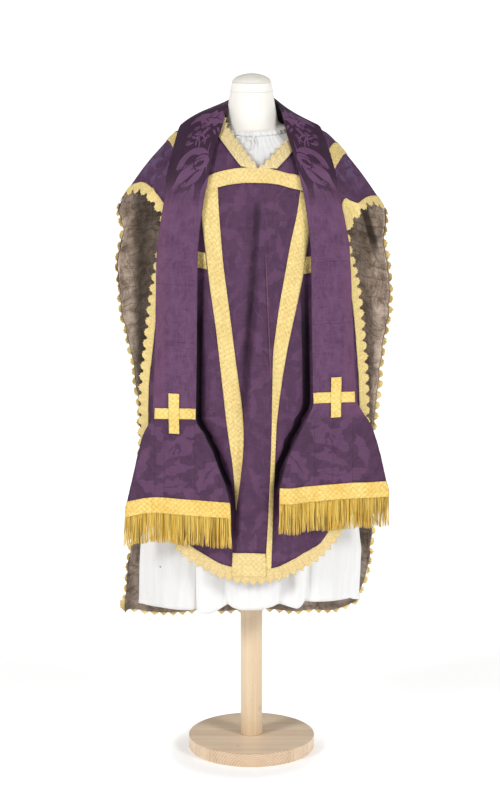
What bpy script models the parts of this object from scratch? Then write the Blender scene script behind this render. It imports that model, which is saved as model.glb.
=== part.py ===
"""A Roman chasuble with its stole, worn over an under-tunic by a dress form on a wooden stand.

Metres, +Z up. The origin is the centre of the base's underside, and the garments' front faces -Y.
The garments are cut flat and then draped. A point of the cloth is (x, s): x is its distance across from
the neck's middle, and s the way down from the shoulder ridge, above 0 in front and below 0 behind.
"""

import math

import bmesh
import bpy
from mathutils import Matrix, Vector

# Stand
BASE_RADIUS = 0.139
BASE_HEIGHT = 0.030
POLE_RADIUS = 0.024
POLE_TOP = 1.100
BOLT_RADIUS = 0.005
BOLT_BOTTOM = 0.009
BOLT_TOP = 0.075
COLLAR_BOTTOM = 0.630
COLLAR_HEIGHT = 0.025
COLLAR_RADIUS = 0.040
SCREW_RADIUS = 0.004
KNOB_RADIUS = 0.007
KNOB_LENGTH = 0.014
WING = (0.003, 0.034, 0.011)
GAP = 0.0004

# Dress form: one (half width, half depth, height in front, height at the sides) for each ring
FORM_RINGS = [
    (0.160, 0.108, 0.700, 0.700),
    (0.165, 0.111, 0.780, 0.780),
    (0.156, 0.107, 0.860, 0.860),
    (0.128, 0.094, 0.970, 0.970),
    (0.148, 0.104, 1.050, 1.050),
    (0.170, 0.111, 1.130, 1.130),
    (0.181, 0.110, 1.190, 1.235),
    (0.174, 0.105, 1.240, 1.298),
    (0.154, 0.096, 1.282, 1.338),
    (0.120, 0.083, 1.312, 1.361),
    (0.080, 0.067, 1.336, 1.374),
    (0.060, 0.058, 1.356, 1.382),
    (0.053, 0.053, 1.392, 1.392),
    (0.046, 0.046, 1.422, 1.422),
    (0.043, 0.043, 1.448, 1.448),
]
FORM_WALL = 0.004
BOARD_BOTTOM = 0.708
BOARD_THICK = 0.012
BOARD_PLAY = 0.003
TUBE_RADIUS = 0.0275
TUBE_TOP = 0.780
FLANGE_RADIUS = 0.052
FLANGE_THICK = 0.003
CAP_BAND_HEIGHT = 0.018
CAP_RADIUS = 0.041
CAP_HEIGHT = 0.019
CAP_SIDE = 0.004

# Under-tunic rings, from the hem up, as on the form
TUNIC_RINGS = [
    (0.246, 0.122, 0.335, 0.335),
    (0.237, 0.122, 0.480, 0.480),
    (0.222, 0.121, 0.640, 0.640),
    (0.207, 0.120, 0.800, 0.800),
    (0.196, 0.119, 0.950, 0.950),
    (0.190, 0.118, 1.100, 1.100),
    (0.188, 0.117, 1.195, 1.243),
    (0.180, 0.112, 1.246, 1.305),
    (0.160, 0.103, 1.288, 1.345),
    (0.126, 0.090, 1.318, 1.368),
    (0.086, 0.074, 1.342, 1.381),
    (0.068, 0.066, 1.356, 1.388),
]
TUNIC_THICK = 0.0015
ARMHOLE_RADIUS = 0.048
ARMHOLE_X = 0.190
ARMHOLE_HEIGHT = 1.262

# The draped surface that all layers of the chasuble and stole share
GARMENT_X = 0.004
RIDGE_TOP = 1.412
RIDGE_FALL = 0.199
RIDGE_POWER = 2.57
TIP_X = 0.285
SPREAD = 0.300
TIP_REACH = 0.030
FRONT_REACH = 0.100
BACK_REACH = 0.105
TIP_DROP = 0.040
NECK_DROP = 0.080
FRONT_HEM_DEPTH = 0.150
BACK_HEM_DEPTH = 0.170
HEM_BOW = 0.60
HANG_LENGTH = 0.85
RIDGE_EASE = 0.25
CHEST_EASE = 0.30
SEAM = 0.0008

# Layers: how far each lies outside the damask, and how thick it is
DAMASK_THICK = 0.0012
LINING_LIFT, LINING_THICK = -0.0026, 0.0010
TRIM_LIFT, TRIM_THICK = 0.0045, 0.0012
STOLE_LIFT = 0.0150
STOLE_LINING_LIFT = 0.0124
STOLE_TRIM_LIFT = 0.0178

# Chasuble outlines, as (x, height) from the garment's middle
NECK_LACE_TIPS = [
    (-0.062, None),
    (-0.052, 1.378),
    (-0.012, 1.3305),
    (0.011, 1.3035),
    (0.036, 1.3255),
    (0.066, 1.352),
    (0.078, None),
]
NECK_LACE_HEADING = [
    (-0.090, None),
    (-0.072, 1.357),
    (-0.026, 1.3025),
    (0.011, 1.3015),
    (0.048, 1.2975),
    (0.080, 1.329),
    (0.104, None),
]
NECK_CLOTH_OUT = 0.010
BACK_NECK_DEPTH = 0.085
NECK_START = 0.25
ARMHOLE_EDGE = [
    (0.285, None),
    (0.276, 1.217),
    (0.255, 1.222),
    (0.238, 1.219),
    (0.222, 1.206),
    (0.205, 1.188),
    (0.197, 1.166),
    (0.208, 1.112),
    (0.223, 1.045),
    (0.237, 0.930),
    (0.2465, 0.810),
    (0.248, 0.700),
]
FRONT_HALF = 0.248
CURVE_START = 0.700
FRONT_HEM = 0.413
LACE_WIDTH = 0.040
LACE_PROUD = 0.010
BACK_HALF = 0.282
BACK_WAVE = 0.013
BACK_WIDEST = 1.050
BACK_WAVE_LENGTH = 0.800
BACK_HEM = 0.258
BACK_LACE_WIDTH = 0.026
BACK_SETTLED = 0.12
BACK_LACE_SHARE = 0.965
HEM_LACE_INSET = 0.006

# Galloon bands
BAND = 0.033
YOKE_UPPER = [
    (-0.112, 1.272),
    (-0.084, 1.287),
    (-0.024, 1.2995),
    (0.049, 1.294),
    (0.092, 1.283),
    (0.118, 1.266),
]
YOKE_LOWER = [
    (-0.100, 1.246),
    (-0.073, 1.259),
    (-0.020, 1.268),
    (0.040, 1.266),
    (0.080, 1.256),
    (0.104, 1.243),
]
LEFT_COLUMN_OUTER = [
    (-0.104, 1.240),
    (-0.106, 1.190),
    (-0.099, 1.124),
    (-0.079, 0.971),
    (-0.057, 0.771),
    (-0.045, 0.487),
]
LEFT_COLUMN_INNER = [
    (-0.070, 1.256),
    (-0.067, 1.190),
    (-0.064, 1.110),
    (-0.044, 0.950),
    (-0.021, 0.765),
    (-0.012, 0.487),
]
RIGHT_COLUMN_INNER = [
    (0.094, 1.244),
    (0.087, 1.190),
    (0.067, 1.090),
    (0.045, 0.940),
    (0.038, 0.741),
    (0.026, 0.487),
]
RIGHT_COLUMN_OUTER = [
    (0.112, 1.232),
    (0.117, 1.165),
    (0.104, 1.080),
    (0.074, 0.938),
    (0.051, 0.741),
    (0.039, 0.487),
]
PATCH = [(-0.045, 0.484), (0.027, 0.484), (-0.043, 0.461), (0.029, 0.461)]
SIDE_BAND_TOP = 1.118
SIDE_BAND_INNER = 0.112
SIDE_BAND_OUTER = 0.168
BACK_COLUMN_TOP = 1.236
BACK_COLUMN_X = 0.092
BACK_COLUMN_FOOT = 0.050
BACK_COLUMN_GAP = 0.030
BACK_YOKE_UPPER = [(-0.114, 1.268), (0, 1.281), (0.114, 1.268)]
BACK_YOKE_LOWER = [(-0.102, 1.240), (0, 1.250), (0.102, 1.240)]
SHOULDER_RIDGE = 0.176
SHOULDER_FOOT = (0.136, 1.282)

# Stole: (inner x, inner height, outer x, outer height) at stations down the front
STOLE_STATIONS = [
    (0.056, None, 0.155, None),
    (0.068, 1.372, 0.168, 1.343),
    (0.080, 1.336, 0.179, 1.300),
    (0.092, 1.290, 0.185, 1.255),
    (0.105, 1.215, 0.192, 1.200),
    (0.113, 1.132, 0.200, 1.132),
]
STOLE_HINGE = 1.130
STOLE_BAND_FOOT = (0.121, 0.212)
STOLE_CROSS_LEVEL = 0.783
STOLE_FLARE_TOP = 0.770
STOLE_END_LEVEL = 0.598
STOLE_FLARE_IN = 0.067
STOLE_FLARE_OUT = 0.056
STOLE_RIGHT_RISE = 0.034
STOLE_GALLOON = 0.034
FRINGE_STRANDS = 14
CROSS_BAR = 0.022
CROSS_HALF = 0.043
CROSS_SHARE = (0.38, 0.50)
CROSS_LIFT = STOLE_TRIM_LIFT + 0.0026
STOLE_NAPE_INNER = (0.078, 1.438)
STOLE_NAPE_OUTER = (0.136, 1.350)
COLLAR_SHARE = 0.42

COLLECTION = "chasuble"


# ---------- drape ----------
def ridge_height(x):
    """Height of the shoulder ridge."""
    return RIDGE_TOP - RIDGE_FALL * (abs(x) / TIP_X) ** RIDGE_POWER


def shoulder_curve(x, behind):
    """How far the cloth reaches out and drops from the ridge before it hangs, and the way along it."""
    falloff = 1 - (x / SPREAD) ** 2
    reach = TIP_REACH + (BACK_REACH if behind else FRONT_REACH) * falloff
    drop = TIP_DROP + NECK_DROP * falloff
    return reach, drop, math.hypot(reach, drop)


def eased(t, start, end):
    """The shoulder curve's share out and share down, from the ridge at t = 0 to hanging at t = 1."""
    out = 3 * (1 - t) ** 2 * t * start + 3 * (1 - t) * t * t + t**3
    down = 3 * (1 - t) * t * t * (1 - end) + t**3
    return out, down


def surface(x, s):
    """The draped surface's point for cloth point (x, s)."""
    behind = s < 0
    way = abs(s)
    reach, drop, length = shoulder_curve(x, behind)
    hem_depth = (BACK_HEM_DEPTH if behind else FRONT_HEM_DEPTH) - HEM_BOW * x * x
    if way < length:
        out, down = eased(way / length, RIDGE_EASE, CHEST_EASE)
        depth, height = reach * out, ridge_height(x) - drop * down
    else:
        hang = min((way - length) / HANG_LENGTH, 1)
        depth = reach + (hem_depth - reach) * hang * hang * (3 - 2 * hang)
        height = ridge_height(x) - drop - (way - length)
    return Vector((GARMENT_X + x, depth if behind else -depth, height))


def draped(x, s, lift=0.0, step=0.0005):
    """The draped surface, lifted outwards by a layer's distance."""
    across = surface(x + step, s) - surface(x - step, s)
    down = surface(x, s + step) - surface(x, s - step)
    return surface(x, s) + across.cross(-down).normalized() * lift


def on_cloth(x, height, behind=False):
    """The cloth point (x, s) at a height, or at the ridge seam where height is None."""
    if height is None:
        return x, -SEAM if behind else SEAM
    reach, drop, length = shoulder_curve(x, behind)
    fall = ridge_height(x) - height
    if fall >= drop:
        way = length + fall - drop
    else:
        low, high = 0.0, 1.0
        for _ in range(30):
            t = (low + high) / 2
            if eased(t, RIDGE_EASE, CHEST_EASE)[1] * drop < fall:
                low = t
            else:
                high = t
        way = max(low * length, SEAM)
    return x, -way if behind else way


# ---------- outlines ----------
def mix(a, b, t):
    """The point a share t of the way from a to b."""
    return tuple(p + (q - p) * t for p, q in zip(a, b))


def smooth(points):
    """A Catmull-Rom curve through points, as a function of 0 to 1."""
    ends = [mix(points[1], points[0], 2), *points, mix(points[-2], points[-1], 2)]

    def at(share):
        place = min(max(share, 0), 1) * (len(points) - 1)
        i = min(int(place), len(points) - 2)
        t = place - i
        a, b, c, d = ends[i : i + 4]
        return tuple(
            q + ((r - p) * t + (2 * p - 5 * q + 4 * r - u) * t * t + (3 * q - p - 3 * r + u) * t**3) / 2
            for p, q, r, u in zip(a, b, c, d)
        )

    return at


def straight(points):
    """Straight lines through points, as a function of 0 to 1."""

    def at(share):
        place = min(max(share, 0), 1) * (len(points) - 1)
        i = min(int(place), len(points) - 2)
        return mix(points[i], points[i + 1], place - i)

    return at


def offset(curve, distance, floor=None):
    """A curve beside another, to its right for a distance above 0, kept on one side of the ridge."""

    def at(share):
        low, high = max(share - 0.01, 0), min(share + 0.01, 1)
        (x0, s0), (x1, s1) = curve(low), curve(high)
        run = math.hypot(x1 - x0, s1 - s0)
        x, s = curve(share)
        x, s = x + (s1 - s0) / run * distance, s - (x1 - x0) / run * distance
        if floor is not None:
            s = max(s, floor) if floor > 0 else min(s, floor)
        return x, s

    return at


def cloth_curve(points, behind=False, mirror=1, bend=smooth):
    """A curve on the cloth through points given as (x, height)."""
    return bend([on_cloth(mirror * x, height, behind) for x, height in points])


def patch(top, bottom, left, right):
    """A flat patch between four edges that meet at its corners: u runs across and v from top to bottom."""

    def at(u, v):
        edges = [(top(u), 1 - v), (bottom(u), v), (left(v), 1 - u), (right(v), u)]
        corners = [
            (top(0), (1 - u) * (1 - v)),
            (top(1), u * (1 - v)),
            (bottom(0), (1 - u) * v),
            (bottom(1), u * v),
        ]
        return tuple(
            sum(p[k] * w for p, w in edges) - sum(p[k] * w for p, w in corners) for k in (0, 1)
        )

    return at


def between(first, second):
    """A strip between two edges: u runs from one to the other and v along them."""
    return lambda u, v: mix(first(v), second(v), u)


# ---------- Blender helpers ----------
def clear_scene():
    for thing in list(bpy.data.objects):
        bpy.data.objects.remove(thing)


def material(name, colour, roughness, metallic=0.0):
    made = bpy.data.materials.new(name)
    made.use_nodes = True
    shader = made.node_tree.nodes["Principled BSDF"]
    shader.inputs["Base Color"].default_value = (*colour, 1)
    shader.inputs["Roughness"].default_value = roughness
    shader.inputs["Metallic"].default_value = metallic
    made.diffuse_color = (*colour, 1)
    return made


def add(name, mesh, look, collection):
    made = bpy.data.objects.new(name, mesh)
    mesh.materials.append(look)
    collection.objects.link(made)
    return made


def solidify(made, thickness, side=0.0):
    shell = made.modifiers.new("thickness", "SOLIDIFY")
    shell.thickness = thickness
    shell.offset = side


def cloth(name, place, across, along, thickness, look, collection):
    """A sheet of cloth: a grid whose point (u, v) goes to place(u, v), given its thickness."""
    bm = bmesh.new()
    bmesh.ops.create_grid(bm, x_segments=across, y_segments=along, size=0.5)
    for vert in bm.verts:
        vert.co = place(vert.co.x + 0.5, 0.5 - vert.co.y)
    bmesh.ops.recalc_face_normals(bm, faces=bm.faces)
    mesh = bpy.data.meshes.new(name)
    bm.to_mesh(mesh)
    bm.free()
    made = add(name, mesh, look, collection)
    mesh.shade_smooth()
    solidify(made, thickness)
    return made


def draped_cloth(name, flat, across, along, lift, thickness, look, collection, row_power=1.0):
    """A piece cut to the flat outline and draped, its rows closer at the top where row_power is over 1."""

    def place(u, v):
        return draped(*flat(u, v**row_power), lift)

    return cloth(name, place, across, along, thickness, look, collection)


def turned(name, profile, look, collection, steps=40, loop=False):
    """A turned piece from a profile of (radius, height) that runs down its outer side."""
    mesh = bpy.data.meshes.new(name)
    count = len(profile)
    edges = [(i, i + 1) for i in range(count - 1)] + ([(count - 1, 0)] if loop else [])
    mesh.from_pydata([(radius, 0, height) for radius, height in profile], edges, [])
    made = add(name, mesh, look, collection)
    spin = made.modifiers.new("turn", "SCREW")
    spin.angle = 2 * math.pi
    spin.steps = spin.render_steps = steps
    spin.use_merge_vertices = True
    spin.merge_threshold = 0.00001
    return made


def ring_point(ring, angle):
    """A point of an oval ring whose sides may stand higher than its front and back."""
    half_width, half_depth, front, side = ring
    rise = (side - front) * math.cos(angle) ** 2
    return Vector((half_width * math.cos(angle), half_depth * math.sin(angle), front + rise))


def lofted(name, rings, segments, look, collection, capped=False):
    """A tube through oval rings: a grid rolled up and welded, with its last ring closed if capped."""
    bm = bmesh.new()
    last = len(rings) - 1
    bmesh.ops.create_grid(bm, x_segments=segments, y_segments=last, size=0.5)
    for vert in bm.verts:
        ring = rings[round((vert.co.y + 0.5) * last)]
        vert.co = ring_point(ring, 2 * math.pi * (vert.co.x + 0.5))
    bmesh.ops.remove_doubles(bm, verts=bm.verts, dist=0.00001)
    if capped:
        top = max(vert.co.z for vert in bm.verts) - 0.00001
        rim = [e for e in bm.edges if e.is_boundary and all(v.co.z > top for v in e.verts)]
        bmesh.ops.edgeloop_fill(bm, edges=rim)
    bmesh.ops.recalc_face_normals(bm, faces=bm.faces)
    mesh = bpy.data.meshes.new(name)
    bm.to_mesh(mesh)
    bm.free()
    mesh.shade_smooth()
    return add(name, mesh, look, collection)


def moving(name, position, parent, pieces):
    """An empty on a joint's axis that carries pieces, which stay where they are."""
    empty = bpy.data.objects.new(name, None)
    empty.location = position
    bpy.context.scene.collection.objects.link(empty)
    bpy.context.view_layer.update()
    if parent:
        empty.parent = parent
        empty.matrix_parent_inverse = parent.matrix_world.inverted()
        bpy.context.view_layer.update()
    for piece in pieces:
        piece.parent = empty
        piece.matrix_parent_inverse = empty.matrix_world.inverted()
    return empty


# ---------- stand and form ----------
def stand(looks, home):
    rim = 0.003
    base = turned(
        "base_disc",
        [
            (0, BOLT_BOTTOM - GAP),
            (BOLT_RADIUS + GAP, BOLT_BOTTOM - GAP),
            (BOLT_RADIUS + GAP, BASE_HEIGHT),
            (BASE_RADIUS - rim, BASE_HEIGHT),
            (BASE_RADIUS, BASE_HEIGHT - rim),
            (BASE_RADIUS, rim),
            (BASE_RADIUS - rim, 0),
            (0, 0),
        ],
        looks["beech"],
        home,
        steps=48,
    )
    foot = BASE_HEIGHT + GAP
    pole = turned(
        "pole",
        [
            (0, POLE_TOP),
            (POLE_RADIUS, POLE_TOP),
            (POLE_RADIUS, foot),
            (BOLT_RADIUS + GAP, foot),
            (BOLT_RADIUS + GAP, BOLT_TOP + GAP),
            (0, BOLT_TOP + GAP),
        ],
        looks["beech"],
        home,
    )
    bolt = turned(
        "hanger_bolt",
        [(0, BOLT_TOP), (BOLT_RADIUS, BOLT_TOP), (BOLT_RADIUS, BOLT_BOTTOM), (0, BOLT_BOTTOM)],
        looks["steel"],
        home,
        steps=16,
    )
    return [base, pole, bolt]


def clamp(looks, home):
    """The collar that holds the form's height on the pole, and its wing screw on +X."""
    inner, top = POLE_RADIUS + GAP, COLLAR_BOTTOM + COLLAR_HEIGHT
    middle = COLLAR_BOTTOM + COLLAR_HEIGHT / 2
    collar = turned(
        "clamp_collar",
        [(inner, top), (COLLAR_RADIUS, top), (COLLAR_RADIUS, COLLAR_BOTTOM), (inner, COLLAR_BOTTOM)],
        looks["steel"],
        home,
        steps=24,
        loop=True,
    )
    cutter_mesh = bpy.data.meshes.new("screw_hole")
    bm = bmesh.new()
    turn = Matrix.Translation((COLLAR_RADIUS, 0, middle)) @ Matrix.Rotation(math.pi / 2, 4, "Y")
    hole = SCREW_RADIUS + GAP
    bmesh.ops.create_cone(
        bm, cap_ends=True, segments=16, radius1=hole, radius2=hole, depth=COLLAR_RADIUS, matrix=turn
    )
    bm.to_mesh(cutter_mesh)
    bm.free()
    cut(collar, cutter_mesh)

    tip, neck = inner + GAP, COLLAR_RADIUS + 0.002
    end = neck + KNOB_LENGTH
    head = [(0, end), (KNOB_RADIUS, end), (KNOB_RADIUS, neck)]
    shaft = [(SCREW_RADIUS, neck), (SCREW_RADIUS, tip), (0, tip)]
    shank = turned("clamp_screw", head + shaft, looks["steel"], home, steps=16)
    shank.matrix_world = Matrix.Translation((0, 0, middle)) @ Matrix.Rotation(math.pi / 2, 4, "Y")
    wing_mesh = bpy.data.meshes.new("wing")
    bm = bmesh.new()
    bmesh.ops.create_cube(bm, size=1)
    bmesh.ops.scale(bm, vec=WING, verts=bm.verts)
    bmesh.ops.translate(bm, vec=(0, 0, end + 0.003), verts=bm.verts)
    bm.to_mesh(wing_mesh)
    bm.free()
    wing = cutter("wing", wing_mesh)
    wing.matrix_world = shank.matrix_world.copy()
    join = shank.modifiers.new("wing", "BOOLEAN")
    join.operation = "UNION"
    join.object = wing
    return collar, shank


def cutter(name, mesh):
    made = bpy.data.objects.new(name, mesh)
    made.hide_render = True
    made.display_type = "WIRE"
    bpy.data.collections["cutters"].objects.link(made)
    return made


def cut(made, mesh):
    tool = made.modifiers.new(mesh.name, "BOOLEAN")
    tool.operation = "DIFFERENCE"
    tool.object = cutter(mesh.name, mesh)


def form(looks, home):
    shell = lofted("torso_shell", FORM_RINGS, 20, looks["canvas"], home, capped=True)
    solidify(shell, FORM_WALL, side=-1)
    hole = TUBE_RADIUS + GAP
    rim = FORM_WALL + BOARD_PLAY
    wide, deep = FORM_RINGS[0][0] - rim, FORM_RINGS[0][1] - rim
    board_top = BOARD_BOTTOM + BOARD_THICK
    board = lofted(
        "torso_board",
        [
            (wide, deep, BOARD_BOTTOM, BOARD_BOTTOM),
            (wide, deep, board_top, board_top),
            (hole, hole, board_top, board_top),
            (hole, hole, BOARD_BOTTOM, BOARD_BOTTOM),
            (wide, deep, BOARD_BOTTOM, BOARD_BOTTOM),
        ],
        24,
        looks["plywood"],
        home,
    )
    inner, low = POLE_RADIUS + GAP, COLLAR_BOTTOM + COLLAR_HEIGHT + GAP
    flange = BOARD_BOTTOM - GAP
    tube = turned(
        "guide_tube",
        [
            (inner, TUBE_TOP),
            (TUBE_RADIUS, TUBE_TOP),
            (TUBE_RADIUS, flange),
            (FLANGE_RADIUS, flange),
            (FLANGE_RADIUS, flange - FLANGE_THICK),
            (TUBE_RADIUS, flange - FLANGE_THICK),
            (TUBE_RADIUS, low),
            (inner, low),
        ],
        looks["steel"],
        home,
        steps=24,
        loop=True,
    )
    neck_top = FORM_RINGS[-1][2] + GAP
    band_top = neck_top + CAP_BAND_HEIGHT
    band = turned(
        "cap_band",
        [(0, band_top), (CAP_RADIUS, band_top), (FORM_RINGS[-1][0], neck_top), (0, neck_top)],
        looks["canvas"],
        home,
    )
    dome_base = band_top + GAP
    shoulder = dome_base + CAP_SIDE
    arc = [math.pi / 2 * i / 6 for i in range(7)]
    dome = [
        (CAP_RADIUS * math.sin(a) ** 0.8, shoulder + (CAP_HEIGHT - CAP_SIDE) * math.cos(a)) for a in arc
    ]
    cap = turned("neck_cap", [*dome, (CAP_RADIUS, dome_base), (0, dome_base)], looks["canvas"], home)
    return [shell, board, tube, band, cap]


# ---------- under-tunic ----------
def tunic(looks, home):
    body = lofted("tunic_body", TUNIC_RINGS, 20, looks["cotton"], home)
    solidify(body, TUNIC_THICK)
    mesh = bpy.data.meshes.new("armholes")
    bm = bmesh.new()
    for x in (-ARMHOLE_X, ARMHOLE_X):
        turn = Matrix.Translation((x, 0, ARMHOLE_HEIGHT)) @ Matrix.Rotation(math.pi / 2, 4, "Y")
        bmesh.ops.create_cone(
            bm,
            cap_ends=True,
            segments=20,
            radius1=ARMHOLE_RADIUS,
            radius2=ARMHOLE_RADIUS,
            depth=0.10,
            matrix=turn,
        )
    bm.to_mesh(mesh)
    bm.free()
    cut(body, mesh)
    half_width, half_depth, front, side = TUNIC_RINGS[-1]
    rise, height, lean = 0.003, 0.008, 0.002
    low_width, low_depth = half_width - rise / 3, half_depth - rise / 3
    band = lofted(
        "tunic_neckband",
        [
            (low_width, low_depth, front + rise, side + rise),
            (low_width - lean, low_depth - lean, front + rise + height, side + rise + height),
        ],
        24,
        looks["cotton"],
        home,
    )
    solidify(band, TUNIC_THICK)
    return [body, band, tunic_tie(looks, home, half_depth, front + rise)]


def tunic_tie(looks, home, half_depth, height):
    """The tape that closes the neckband: a small loop with two hanging ends."""
    chest_slope = 0.7
    # across, outwards and down from the neckband's front
    bends = [
        (0.005, 0.002, 0.030),
        (0.003, 0.001, 0.016),
        (-0.001, 0.000, 0.004),
        (-0.008, 0.002, -0.003),
        (-0.013, 0.003, 0.002),
        (-0.011, 0.004, 0.009),
        (-0.006, 0.005, 0.012),
        (-0.007, 0.005, 0.024),
    ]
    front = -half_depth - 0.005
    points = [(x, front - out - chest_slope * max(down, 0), height - down) for x, out, down in bends]
    line = bpy.data.curves.new("tunic_tie", "CURVE")
    line.dimensions = "3D"
    line.bevel_depth = 0.0012
    line.bevel_resolution = 2
    line.use_fill_caps = True
    path = line.splines.new("POLY")
    path.points.add(len(points) - 1)
    for point, place in zip(path.points, points):
        point.co = (*place, 1)
    return add("tunic_tie", line, looks["cotton"], home)


# ---------- chasuble ----------
def lace_edge(mirror):
    """The outer tips of the lace down one side of the front, from the shoulder tip to the curved hem."""
    return cloth_curve(ARMHOLE_EDGE, mirror=mirror)


def front_hem_edge(share):
    """The outer tips of the lace round the curved hem, from -X to +X."""
    angle = math.pi * share
    x = -FRONT_HALF * math.cos(angle)
    return on_cloth(x, CURVE_START - (CURVE_START - FRONT_HEM) * math.sin(angle))


def back_half(height):
    """Half the back's width at a height, to the tips of its lace."""
    return BACK_HALF + BACK_WAVE * math.cos((height - BACK_WIDEST) / BACK_WAVE_LENGTH * 2 * math.pi)


def back_edge(mirror, inset=0.0):
    """One side of the back from the shoulder tip to the hem, a distance inside the tips of its lace."""

    def at(share):
        if share == 0:
            return mirror * (TIP_X - inset), -SEAM
        start = ridge_height(TIP_X - inset) - SEAM
        height = start + (BACK_HEM + inset - start) * share
        settled = min(share / BACK_SETTLED, 1)
        x = TIP_X + (back_half(height) - TIP_X) * settled - inset
        return on_cloth(mirror * x, height, behind=True)

    return at


def back_hem_edge(inset):
    """The back hem from -X to +X, a distance above the tips of its lace."""
    half = back_half(BACK_HEM) - inset
    return lambda share: on_cloth(half * (2 * share - 1), BACK_HEM + inset, behind=True)


def neck_edge(out):
    """The front neckline, a distance out from the tips of its lace."""
    return offset(cloth_curve(NECK_LACE_TIPS, bend=straight), -out, floor=SEAM)


def front_outline():
    """The front's flat cut, its neckline within the top edge."""
    neck = neck_edge(NECK_CLOTH_OUT)
    left = offset(lace_edge(-1), LACE_PROUD, SEAM)
    right = offset(lace_edge(1), -LACE_PROUD, SEAM)
    tip = TIP_X - LACE_PROUD

    def top(u):
        if u < NECK_START:
            return mix((-tip, SEAM), neck(0), u / NECK_START)
        if u > 1 - NECK_START:
            return mix((tip, SEAM), neck(1), (1 - u) / NECK_START)
        return neck((u - NECK_START) / (1 - 2 * NECK_START))

    hem = offset(front_hem_edge, LACE_PROUD)

    def left_side(v):
        return left(v) if v > 0 else (-tip, SEAM)

    def right_side(v):
        return right(v) if v > 0 else (tip, SEAM)

    def bottom(u):
        corner = left_side(1) if u < 0.5 else right_side(1)
        return mix(hem(u), corner, abs(2 * u - 1) ** 8)

    return patch(top, bottom, left_side, right_side)


def back_outline():
    """The back's flat cut, with its shallow neckline."""
    neck_half = (NECK_LACE_TIPS[-1][0] - NECK_LACE_TIPS[0][0]) / 2 + NECK_CLOTH_OUT
    middle = (NECK_LACE_TIPS[-1][0] + NECK_LACE_TIPS[0][0]) / 2
    tip = TIP_X - LACE_PROUD

    def top(u):
        if u < NECK_START:
            return mix((-tip, -SEAM), (middle - neck_half, -SEAM), u / NECK_START)
        if u > 1 - NECK_START:
            return mix((tip, -SEAM), (middle + neck_half, -SEAM), (1 - u) / NECK_START)
        turn = math.pi * (u - NECK_START) / (1 - 2 * NECK_START)
        return middle - neck_half * math.cos(turn), -SEAM - BACK_NECK_DEPTH * math.sin(turn)

    left, right = back_edge(-1, LACE_PROUD), back_edge(1, LACE_PROUD)
    return patch(top, back_hem_edge(LACE_PROUD), left, right)


def panels(looks, home):
    """The front and back of the chasuble: damask outside and linen inside, cut alike."""
    made = []
    for name, outline in (("front", front_outline()), ("back", back_outline())):
        for layer, lift, thick, look in (
            ("damask", 0.0, DAMASK_THICK, "damask"),
            ("lining", LINING_LIFT, LINING_THICK, "linen"),
        ):
            made.append(
                draped_cloth(f"{name}_{layer}", outline, 12, 16, lift, thick, looks[look], home, 1.5)
            )
    return made


def laces(looks, home):
    made = []

    def strip(name, outer, inner, across, along, row_power=1.0):
        flat = between(outer, inner)
        look = looks["lace"]
        made.append(draped_cloth(name, flat, across, along, TRIM_LIFT, TRIM_THICK, look, home, row_power))

    tips = cloth_curve(NECK_LACE_TIPS, bend=straight)
    strip("neck_lace", tips, cloth_curve(NECK_LACE_HEADING, bend=straight), 1, 24)
    for side, mirror in (("left", -1), ("right", 1)):
        edge = lace_edge(mirror)
        strip(f"front_lace_{side}", edge, offset(edge, -mirror * LACE_WIDTH, SEAM), 2, 33)
        outer, inner = back_edge(mirror), back_edge(mirror, BACK_LACE_WIDTH)
        strip(f"back_lace_{side}", shortened(outer), shortened(inner), 2, 24, 1.5)
    hem = inset_run(front_hem_edge, HEM_LACE_INSET)
    strip("front_lace_hem", hem, offset(hem, LACE_WIDTH), 1, 24)
    strip("back_lace_hem", back_hem_edge(0), back_hem_edge(BACK_LACE_WIDTH), 1, 12)
    return made


def inset_run(curve, share):
    """A curve without a small share at each end, where it meets the next piece of lace."""
    return lambda v: curve(share + (1 - 2 * share) * v)


def shortened(edge):
    """A side edge of the back, down to just above the hem lace."""
    return lambda v: edge(v * BACK_LACE_SHARE)


def galloons(looks, home):
    """The flat gold bands: the yoke, the two columns, the side and shoulder bands and the patch."""
    made = []

    def band(name, first, second, along, behind=False):
        flat = between(cloth_curve(first, behind), cloth_curve(second, behind))
        made.append(draped_cloth(name, flat, 1, along, TRIM_LIFT, TRIM_THICK, looks["galloon"], home))

    band("yoke_galloon", YOKE_UPPER, YOKE_LOWER, 12)
    band("column_galloon_left", LEFT_COLUMN_OUTER, LEFT_COLUMN_INNER, 14)
    band("column_galloon_right", RIGHT_COLUMN_INNER, RIGHT_COLUMN_OUTER, 14)
    band("bottom_patch", PATCH[:2], PATCH[2:], 3)
    for side, mirror in (("left", -1), ("right", 1)):
        inner, outer = mirror * SIDE_BAND_INNER, mirror * SIDE_BAND_OUTER
        upper = [(inner, SIDE_BAND_TOP), (outer, SIDE_BAND_TOP)]
        lower = [(inner, SIDE_BAND_TOP - BAND), (outer, SIDE_BAND_TOP - BAND)]
        band(f"side_galloon_{side}", upper, lower, 3)
        made.append(shoulder_band(side, mirror, looks, home))
        foot, low = mirror * BACK_COLUMN_FOOT, BACK_HEM + BACK_COLUMN_GAP
        top = mirror * BACK_COLUMN_X
        band(
            f"back_column_{side}",
            [(top - BAND / 2, BACK_COLUMN_TOP), (foot - BAND / 2, low)],
            [(top + BAND / 2, BACK_COLUMN_TOP), (foot + BAND / 2, low)],
            10,
            behind=True,
        )
    band("back_yoke_galloon", BACK_YOKE_UPPER, BACK_YOKE_LOWER, 10, behind=True)
    return made


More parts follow.
